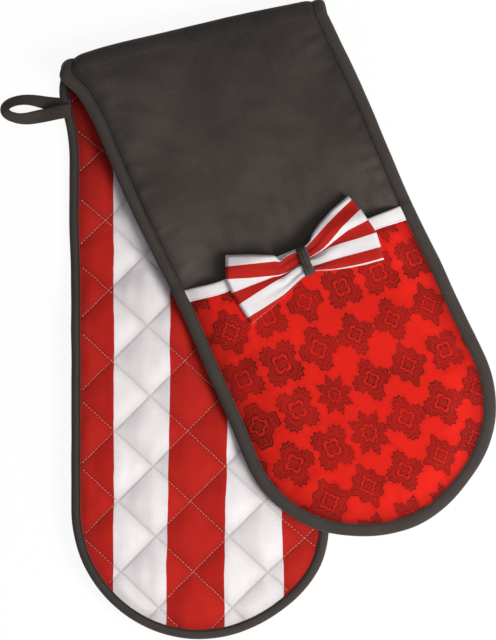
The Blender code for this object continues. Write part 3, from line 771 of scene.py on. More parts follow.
def make_print_cloth(half, seed):
    """Printed cloth of one pocket, with its wadding."""
    x, y, squares = pocket_net(half, PANEL_STEP)
    inset = half.inset(x, y)
    gathers = 0.5 * MM * np.clip(wave(x / 2.4, y, 8 * MM, seed), -1, 1)
    gathers = gathers * (1.0 - smooth(inset, 10 * MM, 30 * MM))
    gathers = np.maximum(gathers, -0.2 * MM) * smooth(inset, 10.0 * MM, 12.5 * MM)
    dents = 0.6 * MM * wave(x, y, 45 * MM, seed + 3.0) * smooth(inset, 8 * MM, 24 * MM)
    from_mouth = mouth_line(half, x, MOUTH_REACH) - y
    pressed = (gathers + dents) * smooth(from_mouth, BAND_WIDTH, BAND_WIDTH + 9 * MM)
    depth = crown(half, x, y, PANEL_RIM_TOP, PANEL_START) + pressed
    points = np.stack([x, y, pocket_height(half, depth)], axis=1)
    printed = new_piece(half.name + "_pocket_print", points, squares[:, ::-1], half.place)
    held = (inset < 10.5 * MM) | (from_mouth < BAND_WIDTH + 1.0 * MM)
    swell(printed, held, let_out=0.006, pressure=0.25)
    if half.lifted:
        rest_on_table(printed)
    refine(printed, PANEL_THICKNESS, 0.2 + 0.8 * smooth(inset, 8 * MM, 16 * MM))
    flat = points_of(printed)[:, :2]
    flat[:, 1] -= half.mouth_slope * flat[:, 0]
    mark_cloth(printed, flat)
    goes_with(printed, half.body)
    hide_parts(half.name + "_pocket_print_cloth", half.name + "_pocket_wadding")
    return printed


def make_hand_lining(half):
    """White cloth of one pocket, towards the hand."""
    x, y, squares = pocket_net(half, 2 * PANEL_STEP)
    depth = crown(half, x, y, HAND_RIM_DEPTH, HAND_DEPTH, start=HAND_INSET)
    points = np.stack([x, y, pocket_height(half, depth)], axis=1)
    lining = new_piece(half.name + "_hand_lining", points, squares[:, ::-1], half.place)
    refine(lining, HAND_THICKNESS)
    mark_cloth(lining, points_of(lining)[:, :2])
    goes_with(lining, half.body)
    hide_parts(half.name + "_pocket_lining")
    return lining


pockets = {}
for half, seed in ((rear, 31.0), (front, 42.0)):
    printed = make_print_cloth(half, seed)
    pockets[half.name] = (printed, make_hand_lining(half))
    print(half.name, "pocket faces:", [len(piece.data.polygons) for piece in pockets[half.name]])

# %% [markdown]
# ## Tape along an edge
# Bias tape is one strip of cloth folded over the raw edge and stitched through both sides. Swept along the
# edge, its section is a thin letter C with a soft roll outside and a groove where the stitches pull it down.
# A sweep keeps the roll crisp, where a simulated tape would lose it. Little slow changes of its place and
# height keep it from looking like a moulded rim.


# %% Sweeping a thin section
def run_along(points):
    """Length run up to each point of a line of points."""
    return np.concatenate([[0.0], np.cumsum(np.linalg.norm(np.diff(points, axis=0), axis=1))])


def sweep(name, outer, inner, place):
    """A closed strip from arrays of shape (stations, points, 3) for its outer and inner faces."""
    stations, count = outer.shape[:2]
    loops = np.concatenate([outer, inner[:, ::-1]], axis=1)
    total = 2 * count
    number = np.arange(stations * total).reshape(stations, total)
    turned = np.roll(number, -1, axis=1)
    walls = np.stack([number[:-1], number[1:], turned[1:], turned[:-1]], axis=-1)
    faces = [tuple(face) for face in walls.reshape(-1, 4)]
    for row, flip in ((number[0], False), (number[-1], True)):
        for index in range(count - 1):
            face = (row[index], row[index + 1], row[total - 2 - index], row[total - 1 - index])
            faces.append(face[::-1] if flip else face)
    piece = new_piece(name, loops.reshape(-1, 3), faces, place)
    face_outwards(piece)
    run, girth = run_along(loops.mean(axis=1)), run_along(loops[0])
    mark_cloth(piece, np.stack([np.repeat(run, total), np.tile(girth, stations)], axis=1))
    return piece


# %% The tape's section
# inset and depth in mm, from the stitched hem to the middle of the roll
TAPE_OUTSIDE = [
    (8.0, 1.3), (7.75, 0.8), (7.3, 0.72), (6.95, 1.0), (6.5, 0.62),
    (4.9, 0.32), (3.0, 0.45), (1.4, 1.1), (0.45, 2.3), (0.05, 3.4),
]
TAPE_INSIDE = [
    (8.0, 1.6), (7.75, 1.5), (7.3, 1.42), (6.95, 1.4), (6.5, 1.35),
    (4.9, 1.28), (3.5, 1.4), (2.4, 1.85), (1.5, 2.6), (1.08, 3.5),
]
TAPE_STITCH = 6.95 * MM  # inset of the groove in which the stitches lie
TAPE_SHARE = 0.88  # of the section's width, on the quilted side
OUTER_TAPE_SHARE = 1.04  # the same on the charcoal side
POCKET_TAPE_SHARE = 1.16  # the same where the tape also takes in the pocket


def pocket_share(depth):
    """0 where the tape takes in the strip alone, 1 where it takes in the pocket too."""
    return (depth - STRIP_DEPTH) / (POCKET_RIM_DEPTH - STRIP_DEPTH)


def tape_section(points, middle, depth):
    """(inset, depth) pairs of one face of the tape, from the quilted side round to the other."""
    plain = np.array(points) * MM
    near = np.broadcast_to(plain * (TAPE_SHARE, 1.0), (len(depth), *plain.shape))
    far = np.broadcast_to(plain[::-1], (len(depth), *plain.shape)).copy()
    far_share = OUTER_TAPE_SHARE + (POCKET_TAPE_SHARE - OUTER_TAPE_SHARE) * pocket_share(depth)
    far[:, :, 0] *= far_share[:, None]
    far[:, :, 1] = depth[:, None] - far[:, :, 1]
    turn = np.stack([np.full(len(depth), middle * MM), depth / 2], axis=1)[:, None, :]
    return np.concatenate([near, turn, far], axis=1)


# %% Going round the edge
def edge_stations(half, step):
    """Stations down one side, round the end and up the other: kind, share or angle, and distance along."""
    side = half.length
    count = round(side / step)
    turn = math.pi * HALF_WIDTH
    shares = np.linspace(1.0, 0.0, count + 1)
    angles = np.linspace(0.0, math.pi, round(turn / step) + 1)[1:-1]
    right = [(1.0, share, 0.0, side * (1.0 - share)) for share in shares]
    arc = [(0.0, 0.0, angle, side + HALF_WIDTH * angle) for angle in angles]
    left = [(-1.0, share, math.pi, side + turn + side * share) for share in shares[::-1]]
    return np.array(right + arc + left)


def along_edge(half, stations, inset):
    """x and y of points at an inset, one row for each station."""
    which, share, angle = stations[:, 0:1], stations[:, 1:2], stations[:, 2:3]
    reach = HALF_WIDTH - inset
    x = np.where(which == 0.0, reach * np.cos(angle), which * reach)
    side_y = -half.length + share * (CREASE_SLOPE * x + half.length)
    y = np.where(which == 0.0, -half.length - reach * np.sin(angle), side_y)
    return x, y


def edge_depth(half, stations):
    """Thickness at the edge: the strip alone, or with the pocket sewn to it."""
    x, y = along_edge(half, stations, np.full((len(stations), 1), 4 * MM))
    past_mouth = mouth_line(half, x, MOUTH_REACH) - y
    return (STRIP_DEPTH + (POCKET_RIM_DEPTH - STRIP_DEPTH) * smooth(past_mouth, -5 * MM, 1 * MM))[:, 0]


# %% Binding of the two halves
def make_binding(half, seed):
    """The tape round one half, from crease to crease."""
    stations = edge_stations(half, 2.4 * MM)
    depth = edge_depth(half, stations)
    run = stations[:, 3]
    shift = 0.32 * MM * wave(run, run * 0.0, 26 * MM, seed)
    puckers = 0.10 * MM * wave(run, run * 0.0, 4.5 * MM, seed + 2.0)
    rise = puckers + 0.12 * MM * wave(run, run * 0.0, 17 * MM, seed + 4.0)
    ease = np.minimum(1.0, np.minimum(run, run.max() - run) / (12 * MM))
    faces = []
    for points, middle in ((TAPE_OUTSIDE, 0.0), (TAPE_INSIDE, 1.0)):
        section = tape_section(points, middle, depth)
        inset = section[:, :, 0] + (shift * ease)[:, None]
        pull = smooth(section[:, :, 0], 0.3 * MM, 4 * MM)
        side = np.where(section[:, :, 1] > depth[:, None] / 2, 1.0, -1.0)
        level = section[:, :, 1] + side * pull * (rise * ease)[:, None]
        x, y = along_edge(half, stations, inset)
        faces.append(np.stack([x, y, half.height(level, y)], axis=-1))
    piece = sweep(half.name + "_tape", *faces, half.place)
    refine(piece)
    goes_with(piece, half.body)
    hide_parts(half.name + "_binding")
    return piece


tapes = {half.name: make_binding(half, seed) for half, seed in ((rear, 51.0), (front, 64.0))}
print("binding faces:", {name: len(piece.data.polygons) for name, piece in tapes.items()})

# %% [markdown]
# ## The white band at each pocket's mouth
# The panel's top edge is finished with white tape, folded over it as the binding is, so it gets the same
# kind of section. It follows the crown of the panel and dips under the side binding at both ends.

# %% Mouth bands
# way down from the mouth's edge and height over the cloth in mm, from the stitched hem to the edge
BAND_OUTSIDE = [
    (9.0, 0.12), (8.75, 0.4), (8.4, 0.42), (8.05, 0.24), (7.6, 0.46),
    (5.0, 0.60), (2.3, 0.55), (0.9, 0.2), (0.25, -0.5),
]
BAND_INSIDE = [
    (9.0, 0.03), (8.75, 0.05), (8.4, 0.05), (8.05, 0.04), (7.6, 0.05),
    (5.0, 0.08), (2.4, 0.05), (1.3, -0.2), (0.7, -0.7),
]
BAND_STITCH = 8.05 * MM  # from the edge to the groove in which the stitches lie
BAND_END = 5.6 * MM  # inset of the band's two ends, which are under the binding


def band_drop(x, down):
    """How far below the mouth's line a point of the tape lies, which is sewn on wider at the right."""
    lift = 0.3 + 0.7 * smooth(-x, 10 * MM, 60 * MM)
    flare = 0.1 + 1.3 * smooth(-x, 62 * MM, 88 * MM)
    return down * (1.0 + (lift + flare) * MM / BAND_WIDTH) - lift * MM


def make_band(half, seed):
    """White tape over the mouth's edge, its outer face towards local -z."""
    across = np.linspace(-1.0, 1.0, 76) * (HALF_WIDTH - BAND_END)
    wobble = 0.22 * MM * wave(across, across * 0.0, 22 * MM, seed)
    ripple = 0.16 * MM * wave(across, across * 0.0, 6 * MM, seed + 2.0)
    faces = []
    for points, middle in ((BAND_OUTSIDE, 0.0), (BAND_INSIDE, 0.55)):
        reach, stand = np.array(points).T * MM
        down = np.concatenate([reach, [middle * MM], reach[::-1]])
        x = np.repeat(across[:, None], len(down), axis=1)
        y = mouth_line(half, x, MOUTH_REACH) - band_drop(x, down[None, :]) + wobble[:, None]
        flat = smooth(HALF_WIDTH - np.abs(across), 6 * MM, 12 * MM)[:, None]
        top = crown(half, x, y, PANEL_RIM_TOP, PANEL_START)
        low = crown(half, x, y, HAND_RIM_DEPTH, HAND_DEPTH, start=HAND_INSET) - HAND_THICKNESS
        count = len(points)
        depth = np.empty_like(x)
        swing = 0.35 + 0.65 * flat
        rippled = np.maximum(ripple, -0.1 * MM)[:, None] * (down[:count] > 1 * MM)
        depth[:, :count] = top[:, :count] + stand * swing + rippled
        depth[:, count] = (top[:, count] + low[:, count]) / 2
        depth[:, count + 1 :] = low[:, count + 1 :] - stand[::-1] * swing
        faces.append(np.stack([x, y, pocket_height(half, depth)], axis=-1))
    piece = sweep(half.name + "_band", *faces, half.place)
    refine(piece)
    goes_with(piece, half.body)
    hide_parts(half.name + "_mouth_band")
    return piece


bands = {half.name: make_band(half, seed) for half, seed in ((rear, 71.0), (front, 83.0))}
print("band faces:", {name: len(piece.data.polygons) for name, piece in bands.items()})

# %% [markdown]
# ## The fold
# Round the crease the same layers bend.

# %% Going round the crease
FOLD_OVERLAP = 3.0 * MM
FOLD_COLUMNS = 71


def fold_place(s, turn, radius, past):
    """A point at s along the crease, at an angle from the lower half, or past the bend's end on the flat."""
    along, off = np.array(ALONG_CREASE), np.array(OFF_CREASE)
    out = radius * np.sin(turn)
    level = np.stack([np.zeros_like(out), np.zeros_like(out), -radius * np.cos(turn)], axis=-1)
    return s[..., None] * along + out[..., None] * off - past[..., None] * off + level


def fold_steps(count):
    """Angles round the bend, with a flat lap before and after them."""
    turn = np.concatenate([[0.0, 0.0], np.linspace(0.0, math.pi, count), [math.pi, math.pi]])
    lap = [FOLD_OVERLAP, FOLD_OVERLAP / 2]
    past = np.concatenate([lap, np.zeros(count), lap[::-1]])
    return turn, past


def bend_with_glove(piece):
    """Gives a fold piece the shifts of both halves, blended by its height, and moves its place into its
    points.
    """
    settle(piece)
    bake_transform(piece)


# %% Cloths of the fold
def fold_sheet(name, depth_at, side, thickness, steps):
    """One ply round the crease, which faces outwards (1) or inwards (-1)."""
    turn, past = fold_steps(steps)
    s = np.linspace(-1.0, 1.0, FOLD_COLUMNS) * (HALF_WIDTH - 3.2 * MM) / math.cos(TILT)
    s_net, turn_net = np.meshgrid(s, turn)
    past_net = np.broadcast_to(past[:, None], s_net.shape)
    x = s_net * math.cos(TILT)
    y = x * CREASE_SLOPE + (BEND_RUN * turn_net / math.pi + np.where(turn_net > 1.0, past_net, -past_net))
    under = np.where(past_net > 0.0, 0.18 * MM * -side, 0.0)
    points = fold_place(s_net, turn_net, INNER_RADIUS + depth_at(x, y) + under, past_net).reshape(-1, 3)
    squares = corners_of(np.arange(x.size).reshape(x.shape)).reshape(-1, 4)
    squares = squares[:, ::-1] if side > 0 else squares
    places = np.stack([x.ravel(), y.ravel()], axis=1)
    piece = new_piece(name, points, squares, Matrix.Translation(CREASE), places)
    refine(piece, thickness)
    return piece


def fold_lining_depth(x, y):
    """Depth of the quilted face round the bend, from the rear half's lattice run on."""
    return quilted_depth(HALF_WIDTH - np.abs(x), rear.quilt(x, y))


def fold_outer_depth(x, y):
    """Depth of the charcoal cloth round the bend."""
    easy = smooth(HALF_WIDTH - np.abs(x), *OUTER_RIM)
    return STRIP_DEPTH - OUTER_RIM_RISE * (1.0 - easy) + 0.12 * MM * wave(x, y, 14 * MM, 7.0) * easy


fold_lining = fold_sheet("fold_lining_skin", fold_lining_depth, -1, thickness=3.0 * MM, steps=17)
fold_outer = fold_sheet("fold_outer_cloth_skin", fold_outer_depth, 1, thickness=0.8 * MM, steps=25)
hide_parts("fold_lining", "fold_wadding")
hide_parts("fold_outer_cloth")
bend_with_glove(fold_lining)
bend_with_glove(fold_outer)
print("fold pieces:", len(fold_lining.data.polygons), len(fold_outer.data.polygons))


# %% Tape round both ends of the crease
def fold_tape(side, word):
    """The binding round one end of the crease."""
    turn, past = fold_steps(25)
    depth = np.full(len(turn), STRIP_DEPTH)
    under = (past > 0.0)[:, None] * 0.12 * MM
    faces = []
    for points, middle in ((TAPE_OUTSIDE, 0.0), (TAPE_INSIDE, 1.0)):
        section = tape_section(points, middle, depth)
        inset = section[:, :, 0] + under * (section[:, :, 0] < 2 * MM)
        level = section[:, :, 1] + under * np.where(section[:, :, 1] < STRIP_DEPTH / 2, 1.0, -1.0)
        s = side * (HALF_WIDTH - inset) / math.cos(TILT)
        turn_net, past_net = (np.repeat(steps[:, None], s.shape[1], 1) for steps in (turn, past))
        faces.append(fold_place(s, turn_net, INNER_RADIUS + level, past_net))
    piece = sweep(f"fold_tape_{word}", *faces, Matrix.Translation(CREASE))
    refine(piece)
    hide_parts(f"fold_binding_{word}")
    bend_with_glove(piece)
    return piece


fold_tapes = [fold_tape(-1.0, "left"), fold_tape(1.0, "right")]
print("tape faces at the fold:", [len(piece.data.polygons) for piece in fold_tapes])

# %% [markdown]
# ## Sewing thread
# Every seam shows its thread as a row of short raised stitches. Each stitch is a small capsule laid on the
# finished cloth: a ray finds the surface under both of its ends, so the rows dip and climb with the padding.
# All the stitches of a row type are one mesh, which keeps the object count low.

# %% Laying stitches
THREAD_RINGS = ((0.0, 0.35), (0.22, 0.92), (0.78, 0.92), (1.0, 0.35))  # shares of the length and the radius
THREAD_SIDES = 5


def resample(points, pitch):
    """Points an even pitch apart along a polyline in the plane."""
    lengths = run_along(points)
    count = max(2, int(lengths[-1] / pitch))
    spots = np.linspace(0.0, lengths[-1], count + 1)
    return np.stack([np.interp(spots, lengths, points[:, axis]) for axis in (0, 1)], axis=1)


def surface_of(*pieces):
    """A search tree over finished pieces that share a frame."""
    points, faces = [], []
    for piece in pieces:
        start = len(points)
        points.extend(vertex.co.copy() for vertex in piece.data.vertices)
        faces.extend([start + corner for corner in polygon.vertices] for polygon in piece.data.polygons)
    return BVHTree.FromPolygons(points, faces)


def on_cloth(surface, spot, side):
    """Where a straight ray from one side meets the cloth at a spot, or None beside it."""
    return surface.ray_cast(Vector((spot[0], spot[1], 0.1 * side)), Vector((0.0, 0.0, -side)))[0]


def capsule_points(start, run, side, radius, wander):
    """Points of one stitch, ring by ring, each with the middle of its ring."""
    across = Vector((-run.y, run.x, 0.0)).normalized()
    up = Vector((0.0, 0.0, float(side)))
    for share, wide in THREAD_RINGS:
        middle = start + run * share + up * radius * (0.5 * wide - 0.15) + across * wander
        for spoke in range(THREAD_SIDES):
            angle = 2.0 * math.pi * spoke / THREAD_SIDES
            yield middle + (across * math.cos(angle) + up * math.sin(angle)) * radius * wide, middle


def capsule_faces(first, side):
    """Faces of one stitch whose points start at a number."""
    for ring in range(len(THREAD_RINGS) - 1):
        for spoke in range(THREAD_SIDES):
            a = first + ring * THREAD_SIDES + spoke
            b = first + ring * THREAD_SIDES + (spoke + 1) % THREAD_SIDES
            yield (a, b, b + THREAD_SIDES, a + THREAD_SIDES)[:: -side]
    last = first + (len(THREAD_RINGS) - 1) * THREAD_SIDES
    yield tuple(range(first, first + THREAD_SIDES))[::side]
    yield tuple(range(last, last + THREAD_SIDES))[:: -side]


def stitches(name, rows, surface, side, place, pitch, radius, fill=0.74):
    """A mesh of stitches along rows, on the surface's upper side (1) or lower side (-1)."""
    points, faces, places = [], [], []
    gap = (1.0 - fill) / 2
    for row in rows:
        spots = resample(row, pitch)
        for number, (start, end) in enumerate(zip(spots[:-1], spots[1:])):
            ends = [on_cloth(surface, start + (end - start) * share, side) for share in (gap, 1.0 - gap)]
            if any(hit is None for hit in ends) or (ends[1] - ends[0]).length > 2.0 * pitch:
                continue
            wander = 0.10 * MM * math.sin(7.3 * number + 3.1 * spots[0][0] / MM)
            faces.extend(capsule_faces(len(points), side))
            for point, middle in capsule_points(ends[0], ends[1] - ends[0], side, radius, wander):
                points.append(point)
                places.append((middle.x, middle.y))
    piece = new_piece(name, points, faces, place, places)
    face_outwards(piece)
    piece.data.shade_smooth()
    return piece


# %% Rows of the quilting
def quilt_rows(half):
    """The stitched lines of one half, each as a polyline that stays on the cloth."""
    rows = []
    for slope in (1.0, -1.0):
        for number in range(-20, 21):
            share = np.linspace(-14.0, 14.0, 1401)
            y = half.corner[1] - half.length + (number - slope * share) * QUILT_ALONG
            x = half.corner[0] + share * QUILT_ACROSS + half.drift(y)
            inside = (half.inset(x, y) > 7.6 * MM) & (y < CREASE_SLOPE * x - 0.4 * MM)
            if inside.sum() > 4:
                rows.append(np.stack([x[inside], y[inside]], axis=1))
    return rows


quilting = {}
for half in (rear, front):
    rows, cloth = quilt_rows(half), surface_of(linings[half.name])
    thread = stitches(half.name + "_quilting", rows, cloth, 1, half.place, 2.6 * MM, 0.18 * MM, fill=0.70)
    goes_with(thread, half.body)
    quilting[half.name] = thread
    print(half.name, "quilting rows:", len(rows))


# %% Rows along the binding and the pocket
def edge_row(half, inset, pocket_inset=None):
    """The line at an inset along the edge, or further in round the pocket."""
    stations = edge_stations(half, 1.5 * MM)
    insets = np.full((len(stations), 1), inset)
    if pocket_inset is not None:
        insets[:, 0] += (pocket_inset - inset) * pocket_share(edge_depth(half, stations))
    x, y = along_edge(half, stations, insets)
    return np.concatenate([x, y], axis=1)


tape_threads, band_threads = [], []
for half in (rear, front):
    tape = surface_of(tapes[half.name])
    inner_row = edge_row(half, TAPE_STITCH * TAPE_SHARE)
    outer_row = edge_row(half, TAPE_STITCH * OUTER_TAPE_SHARE, pocket_inset=TAPE_STITCH * POCKET_TAPE_SHARE)
    for side, word, row in ((1, "inner", inner_row), (-1, "outer", outer_row)):
        name = f"{half.name}_tape_thread_{word}"
        thread = stitches(name, [row], tape, side, half.place, 2.5 * MM, 0.26 * MM)
        goes_with(thread, half.body)
        tape_threads.append(thread)
    across = np.linspace(-1.0, 1.0, 60) * (HALF_WIDTH - 8.5 * MM)
    line = np.stack([across, mouth_line(half, across, MOUTH_REACH) - band_drop(across, BAND_STITCH)], axis=1)
    band = surface_of(bands[half.name])
    thread = stitches(half.name + "_band_thread", [line], band, -1, half.place, 2.3 * MM, 0.24 * MM)
    goes_with(thread, half.body)
    band_threads.append(thread)
print("stitch faces:", sum(len(piece.data.polygons) for piece in tape_threads + band_threads))

# %% [markdown]
# ## The bow
# A striped cloth loop is gathered in the middle by a ring of charcoal tape, and its two ends spread as flat
# padded wings. Each wing is modelled as a closed pad between lines that run out from the knot: one line along
# every border of its stripes. So the stripes bunch at the knot and fan out just as the gathered cloth makes
# them, and every column of the mesh knows which stripe it belongs to. Valleys start at the knot, where the
# gathers are tight, and fade towards the end.

# %% Where the bow sits
BOW_PLACE = (
    front.place
    @ Matrix.Translation((-4.9 * MM, -175.6 * MM, -20.9 * MM))
    @ Euler((0.0, math.pi, math.atan(MOUTH_SLOPE))).to_matrix().to_4x4()
)
BOW_SHIFT = Vector((-1.4 * MM, -1.1 * MM, 0.0))  # the knot sits a little off its solid
BOW_PLACE.translation += BOW_SHIFT
WINGS_PLACE = Matrix.Translation(BOW_PLACE.translation)
KNOT_HALF = (4.3 * MM, 10.8 * MM)
print("the knot sits at", [round(value / MM, 1) for value in BOW_PLACE.translation], "mm")

# %% Borders of the bow's stripes
BORDER_STEPS = (0.0, 0.12, 0.23, 0.31, 0.4, 0.68, 1.0)  # shares of the way from the knot to the wing's end
# each border, from the knot outwards, as x and y in mm from the knot's middle; top edge first
LEFT_BORDERS = [
    [(-2.1, 5.5), (-8.2, 7.1), (-14.3, 4.5), (-18.1, 0.0),
     (-21.8, 4.3), (-40.8, 4.8), (-57.7, 4.4)],
    [(-2.1, 4.8), (-8.2, 6.2), (-14.0, 3.5), (-18.1, -0.7),
     (-21.8, -0.1), (-40.8, -2.2), (-57.7, -4.1)],
    [(-0.8, -2.0), (-5.4, -3.3), (-11.8, -7.9), (-17.6, -10.2),
     (-21.8, -10.8), (-39.7, -12.5), (-57.6, -13.3)],
    [(-0.8, -2.1), (-5.4, -3.4), (-11.8, -8.1), (-17.8, -10.5),
     (-22.9, -11.5), (-38.6, -17.4), (-53.0, -23.2)],
    [(-0.4, -2.5), (-5.2, -4.0), (-11.5, -8.4), (-17.1, -12.2),
     (-22.0, -14.8), (-35.3, -23.2), (-48.0, -31.7)],
    [(1.0, -10.2), (-2.1, -12.2), (-7.4, -16.8), (-11.8, -21.2),
     (-16.3, -25.1), (-29.1, -33.4), (-41.9, -41.3)],
    [(1.2, -10.5), (-1.8, -12.7), (-6.9, -17.7), (-11.2, -22.2),
     (-15.4, -26.3), (-27.0, -36.0), (-38.9, -45.6)],
]
RIGHT_BORDERS = [
    [(-2.1, 10.0), (0.3, 11.6), (2.9, 14.4), (4.8, 19.9), (9.5, 26.5), (18.4, 36.7), (30.9, 47.2)],
    [(-1.5, 9.3), (1.0, 10.6), (4.0, 14.0), (8.4, 19.0), (14.5, 25.9), (23.3, 34.8), (33.5, 44.5)],
    [(1.8, 1.7), (5.2, 3.7), (9.5, 6.2), (13.9, 9.4), (18.4, 14.4), (26.1, 23.8), (39.9, 37.4)],
    [(1.8, 1.4), (5.2, 3.4), (9.7, 6.0), (14.3, 9.0), (19.5, 13.5), (30.5, 22.1), (45.2, 29.6)],
    [(2.0, 1.0), (5.4, 2.7), (10.6, 6.0), (16.7, 9.6), (24.4, 12.4), (37.7, 16.0), (51.3, 20.4)],
    [(4.5, -4.4), (7.3, -3.3), (12.3, -1.7), (20.0, 0.8), (27.8, 3.1), (41.0, 6.6), (54.5, 10.2)],
    [(5.2, -7.3), (9.5, -6.6), (14.5, -6.4), (21.1, -6.0), (29.4, -4.6), (42.1, -2.0), (56.3, 2.0)],
    [(5.2, -7.5), (9.5, -7.0), (14.5, -6.9), (21.1, -6.5), (29.8, -5.3), (42.5, -2.9), (56.6, 1.0)],
]


# %% Wings
WING_HEIGHT = 5.6 * MM
WING_SAG = 5.2 * MM  # beyond the pocket's mouth, where only the flat strip is below
WING_ROWS = 40
COLUMNS_A_STRIPE = 8
MOUTH_POINT = (-58.5 * MM, -13.3 * MM)  # where the mouth passes under the left wing's end
MOUTH_CLIMB = 0.42


def wing_top(along, across, seed):
    """Height of the wing's upper face over its root line, without its rounded edges."""
    level = -1.2 * MM + 3.2 * MM * along
    level = level - (3.2 - 2.2 * along) * MM * hill(across - 0.08, 0.12 + 0.23 * along)
    side = (2.0 - 1.6 * along) * MM
    fading = (1.0 - along) ** 0.7
    level = level - side * hill(across + 0.52, 0.10 + 0.12 * along) * fading
    level = level - 0.8 * side * hill(across - 0.62, 0.10 + 0.10 * along) * fading
    gathers = np.sin(across * 21.0 + seed) * (1.0 - along) ** 3
    ripple = wave(along * 34, across * 19, 9.0, seed)
    return level + 0.28 * MM * gathers + 0.55 * MM * ripple * (0.3 + 0.7 * along)


def wing_plan(borders, along, columns):
    """x and y of the wing's net, drawn between the borders of its stripes."""
    lines = np.array(borders) * MM
    fine = np.linspace(0.0, 1.0, 81)
    plan = np.empty((len(along), len(columns), 2))
    for axis in (0, 1):
        drawn = np.stack([np.interp(fine, BORDER_STEPS, line[:, axis]) for line in lines])
        for _ in range(3):
            drawn[:, 1:-1] = (drawn[:, :-2] + 2.0 * drawn[:, 1:-1] + drawn[:, 2:]) / 4.0
        rows = np.stack([np.interp(along, fine, line) for line in drawn], axis=1)
        plan[:, :, axis] = np.stack([np.interp(columns, np.arange(len(lines)), row) for row in rows])
    return plan


def make_wing(name, borders, seed):
    """One wing as a closed pad, with a stripe number on every point."""
    count = len(borders) - 1
    columns = np.linspace(0.0, count, count * COLUMNS_A_STRIPE + 1)
    along = np.linspace(0.0, 1.0, WING_ROWS + 1) ** 0.9
    plan = wing_plan(borders, along, columns)
    along_net, column_net = np.meshgrid(along, columns, indexing="ij")
    steps = np.linalg.norm(np.diff(plan, axis=1), axis=2)
    from_top = np.concatenate([np.zeros((len(along), 1)), np.cumsum(steps, axis=1)], axis=1)
    across = 1.0 - 2.0 * from_top / from_top[:, -1:]
    roll = np.clip(1.0 - np.abs(across) ** 26, 0.0, 1.0) ** 0.5
    end_roll = np.sqrt(np.clip(1.0 - ((along_net - 0.95) / 0.05).clip(0.0, 1.0) ** 2, 0.0, 1.0))
    thick = roll * (0.25 + 0.75 * end_roll)
    top = -WING_HEIGHT + (WING_HEIGHT + wing_top(along_net, across, seed)) * (0.18 + 0.82 * thick)
    low = -WING_HEIGHT + 1.6 * MM * (1.0 - thick) + 0.5 * MM * along_net
    past_mouth = plan[:, :, 1] - MOUTH_POINT[1] - (plan[:, :, 0] - MOUTH_POINT[0]) * MOUTH_CLIMB
    sag = -0.6 * MM * along_net**2 - WING_SAG * smooth(past_mouth, 1.5 * MM, 17 * MM)
    upper = np.concatenate([plan, (top + sag)[..., None]], axis=2)
    lower = np.concatenate([plan, (np.minimum(low, top - 0.5 * MM) + sag)[..., None]], axis=2)
    piece = pad_between(name, upper, lower, WINGS_PLACE @ Matrix.Translation((0.0, 0.0, WING_HEIGHT)))
    mark_points(piece, "stripe_number", np.tile(column_net.ravel(), 2))
    refine(piece)
    return piece


left_wing = make_wing("bow_left_wing_cloth", LEFT_BORDERS, 4.0)
right_wing = make_wing("bow_right_wing_cloth", RIGHT_BORDERS, 12.0)
goes_with(left_wing, "left_bow_wing")
goes_with(right_wing, "right_bow_wing")
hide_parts("bow_wing_left")
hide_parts("bow_wing_right")
print("wing faces:", len(left_wing.data.polygons), len(right_wing.data.polygons))

# %% [markdown]
# ## The knot
# The ring of tape is folded lengthwise, so its top shows two or three soft ridges. It is narrowest in the
# middle, where it is pulled tight, and its ends tuck down beside the wings.


# %% Knot
def make_knot():
    """The ring of tape round the bow's middle, as a pad with ridges along it."""
    across = np.linspace(-1.0, 1.0, 15)
    along = np.linspace(-1.0, 1.0, 31)
    along_net, across_net = np.meshgrid(along, across, indexing="ij")
    waist = 1.0 - 0.10 * (1.0 - along_net**2) + 0.05 * np.sin(along_net * 5.0)
    x = across_net * KNOT_HALF[0] * waist + 0.25 * MM * np.sin(along_net * 2.3)
    y = along_net * KNOT_HALF[1] + 0.3 * MM * across_net
    roll = np.clip(1.0 - np.abs(across_net) ** 4, 0.0, 1.0) ** 0.5
    ends = np.clip(1.0 - np.abs(along_net) ** 5, 0.0, 1.0) ** 0.5
    ridges = 0.55 * MM * np.cos(across_net * 8.2 + along_net * 0.7)
    ridges = ridges + 0.2 * MM * np.sin(along_net * 9.0 + across_net * 2.0)
    top = 0.4 * MM + (8.6 * MM + ridges) * (0.15 + 0.85 * roll * ends)
    low = 0.3 * MM * (1.0 - roll * ends)
    upper = np.stack([x, y, top], axis=-1)
    lower = np.stack([x * 0.97, y * 0.99, low], axis=-1)
    piece = pad_between("bow_knot_tape", upper, lower, BOW_PLACE)
    refine(piece)
    goes_with(piece, "front_half")
    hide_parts("bow_knot")
    return piece


knot = make_knot()
print("knot faces:", len(knot.data.polygons))

# %% [markdown]
# ## The hanging loop
# A length of the same tape is folded into a narrow band, bent round and sewn under the binding. Its section
# is thin with a stitched hem along both sides. Like the real one it leans over as it lies, so one edge is on
# the table and the other stands up.

# %% Loop
LOOP_WIDE = 9.8 * MM
LOOP_THICK = 1.5 * MM
